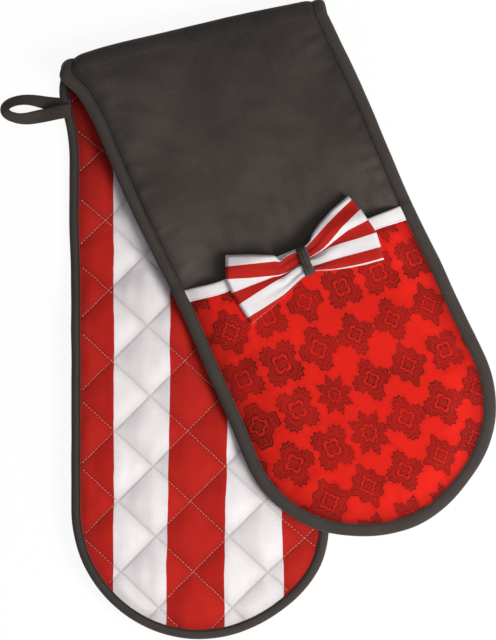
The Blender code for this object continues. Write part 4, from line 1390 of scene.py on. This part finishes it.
# from its lower end round the tip to its upper one: x, y and height of its middle in mm, and lean in degrees
LOOP_COURSE = [
    (-93.0, 288.9, 8.7, 84.0),
    (-98.0, 288.3, 8.9, 84.0),
    (-104.0, 287.2, 7.6, 84.0),
    (-110.0, 285.9, 5.7, 82.0),
    (-115.5, 284.9, 4.5, 78.0),
    (-125.5, 283.0, 3.7, 57.0),
    (-132.5, 283.4, 3.6, 44.0),
    (-139.5, 285.9, 3.8, 42.0),
    (-142.2, 289.8, 3.9, 43.0),
    (-139.5, 293.8, 3.9, 43.0),
    (-132.5, 296.4, 3.7, 45.0),
    (-125.5, 297.2, 3.5, 48.0),
    (-118.5, 296.4, 3.1, 57.0),
    (-112.0, 294.8, 2.4, 74.0),
    (-105.0, 293.9, 3.2, 80.0),
    (-98.0, 293.4, 6.9, 84.0),
    (-93.0, 293.0, 7.5, 84.0),
]
HEM_WIDE = (-1.0, -0.97, -0.86, -0.76, -0.68, -0.4, 0.0, 0.4, 0.68, 0.76, 0.86, 0.97, 1.0)
HEM_THICK = (0.12, 0.7, 1.0, 0.72, 0.92, 0.84, 0.8, 0.84, 0.92, 0.72, 1.0, 0.7, 0.12)
HEM_STITCH_SHARE = 0.76  # of half the width, where the stitches lie


def smooth_course(course, count):
    """An even, rounded line of numbers through rows of numbers."""
    rows = np.array(course)
    steps = run_along(rows[:, :2])
    spots = np.linspace(0.0, steps[-1], count)
    line = np.stack([np.interp(spots, steps, rows[:, axis]) for axis in range(rows.shape[1])], axis=1)
    for _ in range(6):
        line[1:-1] = (line[:-2] + 2.0 * line[1:-1] + line[2:]) / 4.0
    return line


def make_loop():
    """The bent tape, its outer face away from the eye of the loop."""
    line = smooth_course(LOOP_COURSE, 72)
    ahead = np.gradient(line[:, :2], axis=0)
    ahead /= np.linalg.norm(ahead, axis=1, keepdims=True)
    out = np.stack([ahead[:, 1], -ahead[:, 0]], axis=1) * -1.0
    lean = np.radians(line[:, 3])[:, None]
    wide = np.array(HEM_WIDE) * LOOP_WIDE / 2
    thick = np.array(HEM_THICK) * LOOP_THICK / 2
    faces = []
    for side in (1.0, -1.0):
        away = side * thick * np.cos(lean) - wide * np.sin(lean)
        up = side * thick * np.sin(lean) + wide * np.cos(lean)
        x = line[:, 0:1] * MM + out[:, 0:1] * away
        y = line[:, 1:2] * MM + out[:, 1:2] * away
        faces.append(np.stack([x, y, np.maximum(line[:, 2:3] * MM + up, 0.2 * MM)], axis=-1))
    piece = sweep("hanging_loop_tape", faces[0], faces[1], Matrix())
    refine(piece)
    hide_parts("hanging_loop")
    return piece, line, out


loop, loop_line, loop_out = make_loop()
hem_reach = HEM_STITCH_SHARE * LOOP_WIDE / 2 * np.sin(np.radians(loop_line[:, 3:4]))
hem = (loop_line[:, :2] * MM - loop_out * hem_reach)[3:-3]
loop_thread = stitches("hanging_loop_thread", [hem], surface_of(loop), 1, Matrix(), 2.4 * MM, 0.24 * MM)
for piece in (loop, loop_thread):
    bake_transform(piece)
print("loop faces:", len(loop.data.polygons))

# %% [markdown]
# ## Shader tools
# All cloths share a few effects. Each effect is a node group with named inputs and outputs, made once, and
# every material sets its own values on it. The groups give out masks, heights and colours only. The
# Principled shader stays in the material, where Blender's exporter looks for it.


# %% Small helpers for node trees
def add_node(tree, kind, **settings):
    """A new node with its settings."""
    made = tree.nodes.new(kind)
    for name, value in settings.items():
        setattr(made, name, value)
    return made


def feed(tree, socket, value):
    """Links a socket to another, or sets its value."""
    if isinstance(value, bpy.types.NodeSocket):
        tree.links.new(value, socket)
    else:
        socket.default_value = value


def maths(tree, operation, *values, clamp=False):
    """One Math node; returns its output."""
    made = add_node(tree, "ShaderNodeMath", operation=operation, use_clamp=clamp)
    for socket, value in zip(made.inputs, values):
        feed(tree, socket, value)
    return made.outputs[0]


def sums_in(tree):
    """Short names for the Math nodes that add, subtract and multiply in one tree."""
    return (partial(maths, tree, operation) for operation in ("ADD", "SUBTRACT", "MULTIPLY"))


def plug(tree, node, inputs):
    """Links or sets inputs of a node by their names; returns its outputs."""
    for name, value in inputs.items():
        feed(tree, node.inputs[name], value)
    return node.outputs


def remap(tree, value, low, high, to_low=0.0, to_high=1.0):
    """A smooth step of a value, from low to high."""
    made = add_node(tree, "ShaderNodeMapRange", interpolation_type="SMOOTHSTEP")
    given = {"Value": value, "From Min": low, "From Max": high, "To Min": to_low, "To Max": to_high}
    return plug(tree, made, given)["Result"]


def mix_colour(tree, share, first, second, blend="MIX"):
    """Mixes two colours; returns the colour socket."""
    made = add_node(tree, "ShaderNodeMix", data_type="RGBA", blend_type=blend)
    feed(tree, made.inputs["Factor"], share)
    feed(tree, made.inputs[6], first)
    feed(tree, made.inputs[7], second)
    return made.outputs[2]


def noise_of(tree, vector, scale, detail=2.0, rough=0.5):
    """Noise texture; returns its Fac socket."""
    made = add_node(tree, "ShaderNodeTexNoise", noise_dimensions="3D")
    return plug(tree, made, {"Vector": vector, "Scale": scale, "Detail": detail, "Roughness": rough})["Fac"]


def scaled(tree, vector, scale):
    """A vector multiplied by three numbers."""
    made = add_node(tree, "ShaderNodeVectorMath", operation="MULTIPLY")
    feed(tree, made.inputs[0], vector)
    feed(tree, made.inputs[1], scale)
    return made.outputs[0]


def attribute_of(tree, name, output="Fac"):
    """What the mesh carries on its points under a name."""
    return add_node(tree, "ShaderNodeAttribute", attribute_name=name).outputs[output]


NUMBER, VECTOR, COLOUR = "NodeSocketFloat", "NodeSocketVector", "NodeSocketColor"


def new_group(name, inputs, outputs):
    """A node group with named sockets: (name, socket type, default) for inputs, (name, type) for outputs."""
    group = bpy.data.node_groups.new(name, "ShaderNodeTree")
    for title, kind, default in inputs:
        socket = group.interface.new_socket(name=title, in_out="INPUT", socket_type=kind)
        if default is not None:
            socket.default_value = default
    for title, kind in outputs:
        group.interface.new_socket(name=title, in_out="OUTPUT", socket_type=kind)
    return group, add_node(group, "NodeGroupInput").outputs, add_node(group, "NodeGroupOutput").inputs


def use_group(tree, group, **values):
    """Places a group in a material; returns its outputs."""
    made = add_node(tree, "ShaderNodeGroup")
    made.node_tree = group
    return plug(tree, made, {name.replace("_", " "): value for name, value in values.items()})


def srgb(red, green, blue):
    """A colour from 0 to 255 as the linear colour that shaders want."""
    linear = []
    for value in (red / 255.0, green / 255.0, blue / 255.0):
        linear.append(value / 12.92 if value <= 0.04045 else ((value + 0.055) / 1.055) ** 2.4)
    return (*linear, 1.0)


# %% [markdown]
# ## Weave, mottling and painted shade
# In a plain weave every thread goes over one and under the next. Two rows of half sine waves give the
# threads, and the sign of their product says which of them lies on top. Real cotton also has thick and thin
# threads, so stretched noise adds faint streaks both ways. Mottling is the uneven dye and dust of use. Painted
# shade darkens a cloth along its seams and tape edges, in and near the fold and round the bow's knot, with a
# mask that the mesh carries.


# %% Group: plain weave
def build_weave():
    """Height and streaks of a plain weave."""
    group, given, out = new_group(
        "plain weave",
        [("Place", VECTOR, None), ("Thread Pitch", NUMBER, 0.00045)],
        [("Height", NUMBER), ("Streaks", NUMBER)],
    )
    plus, minus, times = sums_in(group)
    parts = add_node(group, "ShaderNodeSeparateXYZ")
    feed(group, parts.inputs[0], given["Place"])
    bend = times(noise_of(group, given["Place"], 160.0), 0.0006)
    waves = []
    for axis in ("X", "Y"):
        moved = plus(parts.outputs[axis], bend)
        turns = times(maths(group, "DIVIDE", moved, given["Thread Pitch"]), math.pi)
        waves.append(maths(group, "SINE", turns))
    which = times(waves[0], waves[1])
    on_top = maths(group, "MULTIPLY_ADD", which, 2.0, 0.5, clamp=True)
    warp, weft = (maths(group, "ABSOLUTE", wave_socket) for wave_socket in waves)
    warp_part = times(warp, on_top)
    weft_part = times(weft, minus(1.0, on_top))
    feed(group, out["Height"], plus(warp_part, weft_part))
    long_ways = noise_of(group, scaled(group, given["Place"], (1500.0, 40.0, 1.0)), 1.0, 1.0)
    cross_ways = noise_of(group, scaled(group, given["Place"], (40.0, 1500.0, 1.0)), 1.0, 1.0)
    feed(group, out["Streaks"], times(plus(long_ways, cross_ways), 0.5))
    return group


# %% Group: mottling
def build_mottling():
    """Large and small patches, both around one half."""
    group, given, out = new_group(
        "mottling",
        [("Place", VECTOR, None), ("Patch Size", NUMBER, 0.03)],
        [("Patches", NUMBER), ("Specks", NUMBER)],
    )
    scale = maths(group, "DIVIDE", 1.0, given["Patch Size"])
    feed(group, out["Patches"], noise_of(group, given["Place"], scale, 4.0, 0.55))
    specks = noise_of(group, given["Place"], 1400.0, 1.0)
    feed(group, out["Specks"], remap(group, specks, 0.66, 0.8))
    return group


# %% Group: cloth colour
LINT_GREY = (0.55, 0.52, 0.5, 1.0)


def build_cloth_colour():
    """Puts weave, patches, lint and the painted shade of the seam mask onto a plain colour."""
    group, given, out = new_group(
        "cloth colour",
        [
            ("Colour", COLOUR, (0.5, 0.5, 0.5, 1.0)),
            ("Place", VECTOR, None),
            ("Thread Pitch", NUMBER, 0.00045),
            ("Weave Contrast", NUMBER, 0.25),
            ("Patch Contrast", NUMBER, 0.15),
            ("Patch Size", NUMBER, 0.03),
            ("Lint", NUMBER, 0.0),
            ("Seam", NUMBER, 0.0),
            ("Seam Shade", NUMBER, 0.3),
        ],
        [("Colour", COLOUR), ("Height", NUMBER), ("Roughness", NUMBER)],
    )
    plus, minus, times = sums_in(group)
    weave = use_group(group, WEAVE, Place=given["Place"], Thread_Pitch=given["Thread Pitch"])
    mottle = use_group(group, MOTTLING, Place=given["Place"], Patch_Size=given["Patch Size"])
    low = minus(weave["Height"], 0.75)
    streak = times(minus(weave["Streaks"], 0.5), 1.4)
    threads = times(plus(low, streak), given["Weave Contrast"])
    patches = minus(mottle["Patches"], 0.5)
    patches = times(patches, given["Patch Contrast"])
    # painted shade: the seam mask, times Seam Shade, darkens the colour
    seam = times(given["Seam"], given["Seam Shade"])
    level = minus(plus(plus(threads, patches), 1.0), seam)
    shade = add_node(group, "ShaderNodeCombineColor")
    for channel in ("Red", "Green", "Blue"):
        feed(group, shade.inputs[channel], level)
    toned = mix_colour(group, 1.0, given["Colour"], shade.outputs[0], "MULTIPLY")
    lint = times(mottle["Specks"], given["Lint"])
    feed(group, out["Colour"], mix_colour(group, lint, toned, LINT_GREY))
    slubs = times(weave["Streaks"], 1.5)
    feed(group, out["Height"], plus(weave["Height"], slubs))
    rough = maths(group, "MULTIPLY_ADD", patches, -0.5, 0.86)
    feed(group, out["Roughness"], maths(group, "MULTIPLY_ADD", weave["Height"], -0.05, rough))
    return group


WEAVE = build_weave()
MOTTLING = build_mottling()
CLOTH = build_cloth_colour()
print("shared node groups:", [group.name for group in bpy.data.node_groups])

# %% [markdown]
# ## Painted shade on each cloth
# Each cloth is painted darker along its seams and tape edges, in and near the fold and round the bow's knot:
# painted shade, where the cloth turns away from the light or lies in shade. The mesh knows where these
# places are, so a number between 0 and 1, the seam mask, is written on every point and the material reads it.


# %% Painted shade masks
def mark_painted_shade(piece, values):
    """Writes the seam mask of painted shade on the points of a piece."""
    mark_points(piece, "seam", np.clip(values, 0.0, 1.0))


def near(distance, reach):
    """1 at a distance of nothing or less, fading over the reach."""
    return hill(np.maximum(distance, 0.0), reach)


def mark_quilting(piece, turns):
    """Writes the two numbers of the quilting on the points, for the fine groove along the stitches."""
    layer = piece.data.attributes.new("quilting", "FLOAT_VECTOR", "POINT")
    both = np.zeros((len(piece.data.vertices), 3), np.float32)
    both[:, 0], both[:, 1] = turns
    layer.data.foreach_set("vector", both.ravel())


def cloth_places(piece):
    """The places on the flat cloth that a piece carries, as an array."""
    data = piece.data.attributes["cloth_place"].data
    flat = np.zeros(3 * len(data))
    data.foreach_get("vector", flat)
    return flat.reshape(-1, 3)


QUILT_SPACING = 1.0 / math.hypot(1.0 / QUILT_ACROSS, 1.0 / QUILT_ALONG)

for half in (rear, front):
    x, y, _ = points_of(linings[half.name]).T
    edge = half.inset(x, y) - 8 * MM
    # painted shade on the lining: inside the fold, along the quilting's stitches and towards the tape
    painted_shade_in_fold = 0.62 * (1.0 - smooth(x * CREASE_SLOPE - y, 15 * MM, 140 * MM))
    painted_stitch_shade = 0.20 * near(half.stitch_distance(x, y) * QUILT_SPACING, 4 * MM)
    mark_painted_shade(linings[half.name], painted_stitch_shade + 0.3 * near(edge, 4 * MM) + painted_shade_in_fold)
    mark_quilting(linings[half.name], half.turns(x, y))
    x, y, _ = points_of(outers[half.name]).T
    # painted shade: the charcoal is darker towards the fold and along the tape's edge
    painted_shade_near_fold = 1.0 - smooth(x * CREASE_SLOPE - y, 0.0, 190 * MM)
    mark_painted_shade(outers[half.name], 0.7 * near(half.inset(x, y) - OUTER_RIM[0], 3 * MM) + 0.8 * painted_shade_near_fold)
    mark_points(outers[half.name], "inset", half.inset(x, y))
    for pocket in pockets[half.name]:
        x, y, _ = points_of(pocket).T
        from_band = mouth_line(half, x, MOUTH_REACH - BAND_WIDTH) - y
        inset = half.inset(x, y)
        # painted shade along the tape round the pocket and under the white band
        painted_shade_at_tape = 0.6 * near(inset - 9 * MM, 8 * MM) + near(inset - 9.3 * MM, 1.4 * MM)
        mark_painted_shade(pocket, painted_shade_at_tape + 0.4 * near(from_band, 3 * MM))
x, y, _ = cloth_places(fold_lining).T
# painted shade all over the inside of the fold
mark_painted_shade(fold_lining, np.full_like(x, 0.65))
mark_quilting(fold_lining, rear.turns(x, y))
inset = HALF_WIDTH - np.abs(cloth_places(fold_outer)[:, 0])
# painted shade all over the fold's outer cloth and along its tape edges
mark_painted_shade(fold_outer, 0.7 * near(inset - 8 * MM, 5 * MM) + 0.8)
mark_points(fold_outer, "inset", inset)
for piece in (*tapes.values(), *fold_tapes):
    girth = cloth_places(piece)[:, 1]
    # painted shade in the tape's stitched groove
    mark_painted_shade(piece, near(np.abs(girth - 1.4 * MM), 0.8 * MM))
for wing in (left_wing, right_wing):
    # painted shade round the knot, where the wings are gathered
    mark_painted_shade(wing, near(np.linalg.norm(points_of(wing)[:, :2], axis=1) - 5 * MM, 12 * MM))
print("seam masks written")

# %% [markdown]
# ## Cotton cloths and tapes
# All the cotton pieces share one recipe: the cloth group shades a base colour, its height drives a fine bump,
# and a weak sheen gives the soft halo that cotton has at its edges. What differs is the base colour, the
# thread and how worn the piece looks.

# %% One recipe for cotton
WEAVE_BUMP = 0.35
WEAVE_RELIEF = 0.15 * MM
GROOVE_DEPTH = 0.34 * MM
# colour of the painted shade along the quilting's groove
GROOVE_SHADE = (0.45, 0.40, 0.40, 1.0)


def new_material(name):
    """A material with nodes, its tree and its Principled shader."""
    material = bpy.data.materials.new(name)
    material.use_nodes = True
    return material, material.node_tree, material.node_tree.nodes["Principled BSDF"]


def groove_of(tree):
    """1 along the quilting's stitches, fading within 1.7 mm."""
    turns = add_node(tree, "ShaderNodeSeparateXYZ")
    feed(tree, turns.inputs[0], attribute_of(tree, "quilting", "Vector"))
    off = [maths(tree, "PINGPONG", turns.outputs[axis], 0.5) for axis in ("X", "Y")]
    distance = maths(tree, "MULTIPLY", maths(tree, "MINIMUM", *off), QUILT_SPACING)
    return remap(tree, distance, 0.1 * MM, 1.7 * MM, 1.0, 0.0)


def cotton(name, colour, pitch, sheen=0.12, shine=0.3, quilted=False, **look):
    """A cotton material. colour is a colour, or a function that builds one from the tree and the place."""
    material, tree, shader = new_material(name)
    place = attribute_of(tree, "cloth_place", "Vector")
    # the seam mask carries painted shade along seams, in the fold and round the knot
    seam = attribute_of(tree, "seam")
    base = colour(tree, place) if callable(colour) else colour
    cloth = use_group(tree, CLOTH, Colour=base, Place=place, Thread_Pitch=pitch, Seam=seam, **look)
    shade = cloth["Colour"]
    given = {"Strength": WEAVE_BUMP, "Distance": WEAVE_RELIEF, "Height": cloth["Height"]}
    normal = plug(tree, add_node(tree, "ShaderNodeBump"), given)["Normal"]
    if quilted:
        groove = groove_of(tree)
        # painted shade in the groove along the quilting's stitches
        shade = mix_colour(tree, maths(tree, "MULTIPLY", groove, 0.15), shade, GROOVE_SHADE, "MULTIPLY")
        given = {"Strength": 1.0, "Distance": GROOVE_DEPTH, "Height": groove, "Normal": normal}
        normal = plug(tree, add_node(tree, "ShaderNodeBump", invert=True), given)["Normal"]
    plug(tree, shader, {"Base Color": shade, "Roughness": cloth["Roughness"], "Normal": normal})
    plug(tree, shader, {"Specular IOR Level": shine, "Sheen Weight": sheen, "Sheen Roughness": 0.5})
    return material


def wear_material(material, *pieces):
    """Puts one material on pieces."""
    for piece in pieces:
        piece.data.materials.clear()
        piece.data.materials.append(material)


# %% Colours of the cloths
CHARCOAL = srgb(72, 64, 60)
TAPE_CHARCOAL = srgb(61, 54, 50)
STRIPE_RED = srgb(184, 29, 20)
POCKET_RED = srgb(218, 28, 14)
COTTON_WHITE = srgb(236, 230, 233)
TAPE_EDGE = 8.55 * MM  # inset of the tape's inner edge on the charcoal cloth
# colour of the painted shadow along the tape's inner edge
TAPE_EDGE_SHADE = (0.25, 0.23, 0.23, 1.0)


def charcoal_colour(tree, _place):
    """Charcoal, with a thin line of painted shadow where the tape's inner edge lies on it."""
    off = maths(tree, "ABSOLUTE", maths(tree, "SUBTRACT", attribute_of(tree, "inset"), TAPE_EDGE))
    line = remap(tree, off, 0.3 * MM, 0.8 * MM, 0.8, 0.0)
    return mix_colour(tree, line, CHARCOAL, TAPE_EDGE_SHADE, "MULTIPLY")


# %% Plain cloths and tapes
charcoal_cotton = cotton(
    "charcoal_cotton", charcoal_colour, pitch=0.42 * MM,
    Weave_Contrast=0.4, Patch_Contrast=1.0, Patch_Size=0.06, Lint=0.05, Seam_Shade=0.5,
)
charcoal_tape = cotton(
    "charcoal_bias_tape", TAPE_CHARCOAL, pitch=0.36 * MM,
    Weave_Contrast=0.2, Patch_Contrast=0.4, Patch_Size=0.02, Lint=0.05, Seam_Shade=0.55,
)
plain_white = {"Weave_Contrast": 0.1, "Patch_Contrast": 0.08, "Seam_Shade": 0.12}
white_cotton = cotton("white_cotton", COTTON_WHITE, pitch=0.42 * MM, **plain_white)
white_tape = cotton("white_mouth_tape", COTTON_WHITE, pitch=0.38 * MM, **plain_white)
wear_material(charcoal_cotton, outers["rear"], outers["front"], fold_outer)
wear_material(charcoal_tape, *tapes.values(), *fold_tapes, knot, loop)
wear_material(white_cotton, pockets["rear"][1], pockets["front"][1])
wear_material(white_tape, *bands.values())
print("plain cloths:", charcoal_cotton.name, charcoal_tape.name, white_cotton.name, white_tape.name)

# %% [markdown]
# ## Woven stripes
# The stripes are half as wide as a hand and run the length of the glove. Their borders are a function of the
# place across the flat cloth, so they go on over the fold without a break. The cloth is never cut perfectly
# straight, and every row of stitches draws it in a little, so the borders wander by half a millimetre or so.

# %% Striped cotton
INNER_BORDER = (20.8 * MM, 21.2 * MM)  # where the middle red stripe ends, as it softly turns to white
OUTER_BORDER = (61.5 * MM, 61.9 * MM)  # where the two outer red stripes begin
BORDER_WANDER = 2.4 * MM
BORDER_LEAN = 2.8 * MM  # towards the rear half's round end, at the left


def stripe_colour(tree, place):
    """Red and white by the place across the cloth."""
    plus, minus, times = sums_in(tree)
    parts = add_node(tree, "ShaderNodeSeparateXYZ")
    feed(tree, parts.inputs[0], place)
    drift = minus(noise_of(tree, place, 38.0, 2.0), 0.5)
    drift = times(drift, BORDER_WANDER)
    lean = remap(tree, parts.outputs["Y"], -225 * MM, -420 * MM, 0.0, BORDER_LEAN)
    lean = times(lean, remap(tree, parts.outputs["X"], -60 * MM, -24 * MM))
    moved = plus(plus(parts.outputs["X"], drift), lean)
    distance = maths(tree, "ABSOLUTE", moved)
    middle = remap(tree, distance, *INNER_BORDER, 1.0, 0.0)
    outside = remap(tree, distance, *OUTER_BORDER)
    red = maths(tree, "MAXIMUM", middle, outside)
    return mix_colour(tree, red, COTTON_WHITE, STRIPE_RED)


striped_cotton = cotton(
    "striped_cotton", stripe_colour, pitch=0.40 * MM, sheen=0.04, shine=0.2, quilted=True,
    Weave_Contrast=0.14, Patch_Contrast=0.25, Patch_Size=0.03, Seam_Shade=0.6,
)
wear_material(striped_cotton, *linings.values(), fold_lining)


# %% Stripes that fan out over the bow
STRIPE_EDGE = 0.03  # half the soft edge of a stripe, in shares of its width


def bow_colour(tree, _place):
    """Red and white by the number of the stripe."""
    part = maths(tree, "MODULO", attribute_of(tree, "stripe_number"), 2.0)
    rising = remap(tree, part, 1.0 - STRIPE_EDGE, 1.0 + STRIPE_EDGE)
    falling = remap(tree, part, 2.0 - STRIPE_EDGE, 2.0, 1.0, 0.0)
    return mix_colour(tree, maths(tree, "MULTIPLY", rising, falling), COTTON_WHITE, STRIPE_RED)


bow_cotton = cotton(
    "bow_cotton", bow_colour, pitch=0.40 * MM, sheen=0.04, shine=0.2,
    Weave_Contrast=0.14, Patch_Contrast=0.2, Patch_Size=0.015, Seam_Shade=0.3,
)
wear_material(bow_cotton, left_wing, right_wing)
print("striped cloths:", striped_cotton.name, bow_cotton.name)

# %% [markdown]
# ## An ornamental print
# The pocket cloth carries rows of dark engraved ornaments, here rosettes, cusped lozenges, quatrefoils and
# pointed crosses. Each sits in a cell of a grid. Three numbers drawn for each cell pick its kind, its petals
# and its size. The distance from the cell's middle, divided by the ornament's own radius in that direction,
# says how far inside the outline a point is. Thin bands of that number are the engraved outlines, and fine
# lines between them are the hatching. Every ornament is a ring with a core, so some red shows inside it.

# %% Ornament group
CELL_ACROSS = 28.5 * MM
CELL_ALONG = 34.9 * MM
FIRST_ROW = 11.2 * MM
ORNAMENT_HALF = (12.9 * MM, 15.2 * MM)


def band_of(tree, value, middle, width):
    """1 on a thin band of a value, with soft sides."""
    off = maths(tree, "ABSOLUTE", maths(tree, "SUBTRACT", value, middle))
    return remap(tree, off, width * 0.45, width, 1.0, 0.0)


def pick_one(tree, share, first, second):
    """The second value where share is 1, else the first."""
    plus, minus, times = sums_in(tree)
    first_part = times(first, minus(1.0, share))
    return plus(first_part, times(second, share))


def build_ornaments():
    """Ink and its soft bleed, for a place on the printed cloth."""
    group, given, out = new_group(
        "engraved ornaments",
        [("Place", VECTOR, None)],
        [("Ink", NUMBER), ("Bleed", NUMBER)],
    )
    calc = partial(maths, group)
    plus, minus, times = sums_in(group)

    # the cell and its three random numbers
    parts = add_node(group, "ShaderNodeSeparateXYZ")
    feed(group, parts.inputs[0], given["Place"])
    v = calc("DIVIDE", plus(parts.outputs["Y"], FIRST_ROW), CELL_ALONG)
    row = calc("FLOOR", v)
    stagger = times(calc("SINE", times(row, 2.7)), 0.35)
    u = plus(calc("DIVIDE", parts.outputs["X"], CELL_ACROSS), stagger)
    cell = add_node(group, "ShaderNodeCombineXYZ")
    feed(group, cell.inputs[0], calc("FLOOR", u))
    feed(group, cell.inputs[1], row)
    cell.inputs[2].default_value = 4.0
    drawn = add_node(group, "ShaderNodeTexWhiteNoise", noise_dimensions="3D")
    feed(group, drawn.inputs["Vector"], cell.outputs[0])
    lots = add_node(group, "ShaderNodeSeparateColor")
    feed(group, lots.inputs[0], drawn.outputs["Color"])
    first, second, third = (lots.outputs[name] for name in ("Red", "Green", "Blue"))

    # place inside the ornament, in shares of its half width and half height
    size = calc("MULTIPLY_ADD", second, 0.16, 0.92)
    x_mm = times(minus(calc("FRACT", u), 0.5), CELL_ACROSS)
    y_mm = times(minus(calc("FRACT", v), 0.5), CELL_ALONG)
    x = calc("DIVIDE", x_mm, times(size, ORNAMENT_HALF[0]))
    y = calc("DIVIDE", y_mm, times(size, ORNAMENT_HALF[1]))
    angle = calc("ARCTAN2", y, x)
    away = calc("SQRT", plus(times(x, x), times(y, y)))

    # how far inside the outline, for four kinds
    petals = plus(4.0, times(calc("FLOOR", times(first, 2.99)), 2.0))
    curl = times(calc("COSINE", times(angle, times(petals, 3.0))), 0.06)
    swing = times(calc("COSINE", times(angle, petals)), 0.17)
    rosette = calc("DIVIDE", away, plus(plus(swing, curl), 0.86))
    cusp = calc("MULTIPLY_ADD", calc("COSINE", times(angle, 8.0)), 0.12, 1.12)
    lozenge = calc("DIVIDE", plus(calc("ABSOLUTE", x), calc("ABSOLUTE", y)), cusp)
    lobe = calc("POWER", calc("ABSOLUTE", calc("SINE", times(angle, 2.0))), 0.7)
    quatrefoil = calc("DIVIDE", away, plus(calc("MULTIPLY_ADD", lobe, 0.52, 0.58), curl))
    arm = calc("POWER", calc("ABSOLUTE", calc("COSINE", times(angle, 2.0))), 1.4)
    cross = calc("DIVIDE", away, minus(calc("MULTIPLY_ADD", arm, 0.42, 0.66), curl))
    pair = calc("GREATER_THAN", third, 0.5)
    within_pair = calc("GREATER_THAN", calc("FRACT", times(third, 2.0)), 0.5)
    first_pair = pick_one(group, within_pair, rosette, lozenge)
    second_pair = pick_one(group, within_pair, quatrefoil, cross)
    inside = pick_one(group, pair, first_pair, second_pair)

    # outlines, spokes and hatching
    lines = band_of(group, inside, 0.97, 0.075)
    for middle, width in ((0.80, 0.045), (0.50, 0.07), (0.26, 0.07)):
        lines = calc("MAXIMUM", lines, band_of(group, inside, middle, width))
    spokes = calc("SINE", times(angle, times(petals, 5.0)))
    spokes = times(remap(group, spokes, -0.1, 0.6), band_of(group, inside, 0.65, 0.20))
    level = calc("SINE", times(y_mm, 2.0 * math.pi / (1.8 * MM)))
    level = times(remap(group, level, -0.2, 0.5), band_of(group, inside, 0.13, 0.16))
    ring = times(remap(group, inside, 0.9, 1.0, 1.0, 0.0), remap(group, inside, 0.44, 0.50))
    body = times(calc("MAXIMUM", ring, remap(group, inside, 0.22, 0.27, 1.0, 0.0)), 0.44)
    hatch = times(calc("MAXIMUM", spokes, level), 0.8)
    ink = calc("MAXIMUM", calc("MAXIMUM", lines, hatch), body)

    worn = remap(group, noise_of(group, given["Place"], 420.0, 3.0), 0.25, 0.6, 0.7, 1.0)
    faded = remap(group, noise_of(group, given["Place"], 30.0, 2.0), 0.3, 0.65, 0.72, 1.0)
    feed(group, out["Ink"], times(ink, times(worn, faded)))
    feed(group, out["Bleed"], remap(group, inside, 0.95, 1.4, 1.0, 0.0))
    return group


ORNAMENTS = build_ornaments()
INK = srgb(78, 16, 8)
BLEED = srgb(192, 20, 10)
print("ornament nodes:", len(ORNAMENTS.nodes))


# %% Printed cotton
def print_colour(tree, place):
    """Red cloth with the ornaments printed on it."""
    ornaments = use_group(tree, ORNAMENTS, Place=place)
    soaked = mix_colour(tree, maths(tree, "MULTIPLY", ornaments["Bleed"], 0.55), POCKET_RED, BLEED)
    return mix_colour(tree, maths(tree, "MULTIPLY", ornaments["Ink"], 0.94), soaked, INK)


printed_cotton = cotton(
    "printed_cotton", print_colour, pitch=0.42 * MM, sheen=0.03, shine=0.17,
    Weave_Contrast=0.12, Patch_Contrast=0.3, Patch_Size=0.03, Seam_Shade=0.55,
)
wear_material(printed_cotton, pockets["rear"][0], pockets["front"][0])

# %% [markdown]
# ## Threads
# A sewing thread is two plies twisted together. At this size that only shows as tiny light and dark steps
# along each stitch, so a fine noise darkens the colour in steps: painted shade between the plies.


# %% Thread materials
def thread_material(name, colour):
    """A matt twisted thread."""
    material, tree, shader = new_material(name)
    plies = noise_of(tree, attribute_of(tree, "cloth_place", "Vector"), 2600.0, 1.0)
    # painted shade between the plies: a darker copy of the thread's colour
    dark = (*(channel * 0.6 for channel in colour[:3]), 1.0)
    feed(tree, shader.inputs["Base Color"], mix_colour(tree, remap(tree, plies, 0.35, 0.65), dark, colour))
    feed(tree, shader.inputs["Roughness"], remap(tree, plies, 0.3, 0.7, 0.75, 0.6))
    shader.inputs["Specular IOR Level"].default_value = 0.3
    return material


white_thread = thread_material("white_thread", srgb(226, 198, 192))
dark_thread = thread_material("charcoal_thread", srgb(38, 36, 35))
band_thread = thread_material("band_thread", srgb(214, 211, 212))
wear_material(white_thread, *quilting.values())
wear_material(dark_thread, *tape_threads, loop_thread)
wear_material(band_thread, *band_threads)
print("materials:", len(bpy.data.materials))

# %% [markdown]
# ## Joining the pieces to the glove's bodies
# While a half was being made, its pieces kept the half's own frame, which made rays and masks simple. Now
# their places go into their points, and each piece is told which body it moves with.

# %% Ride
for piece, body in riders:
    settle(piece, body)
    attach(piece, body)
print("pieces that ride:", len(riders))
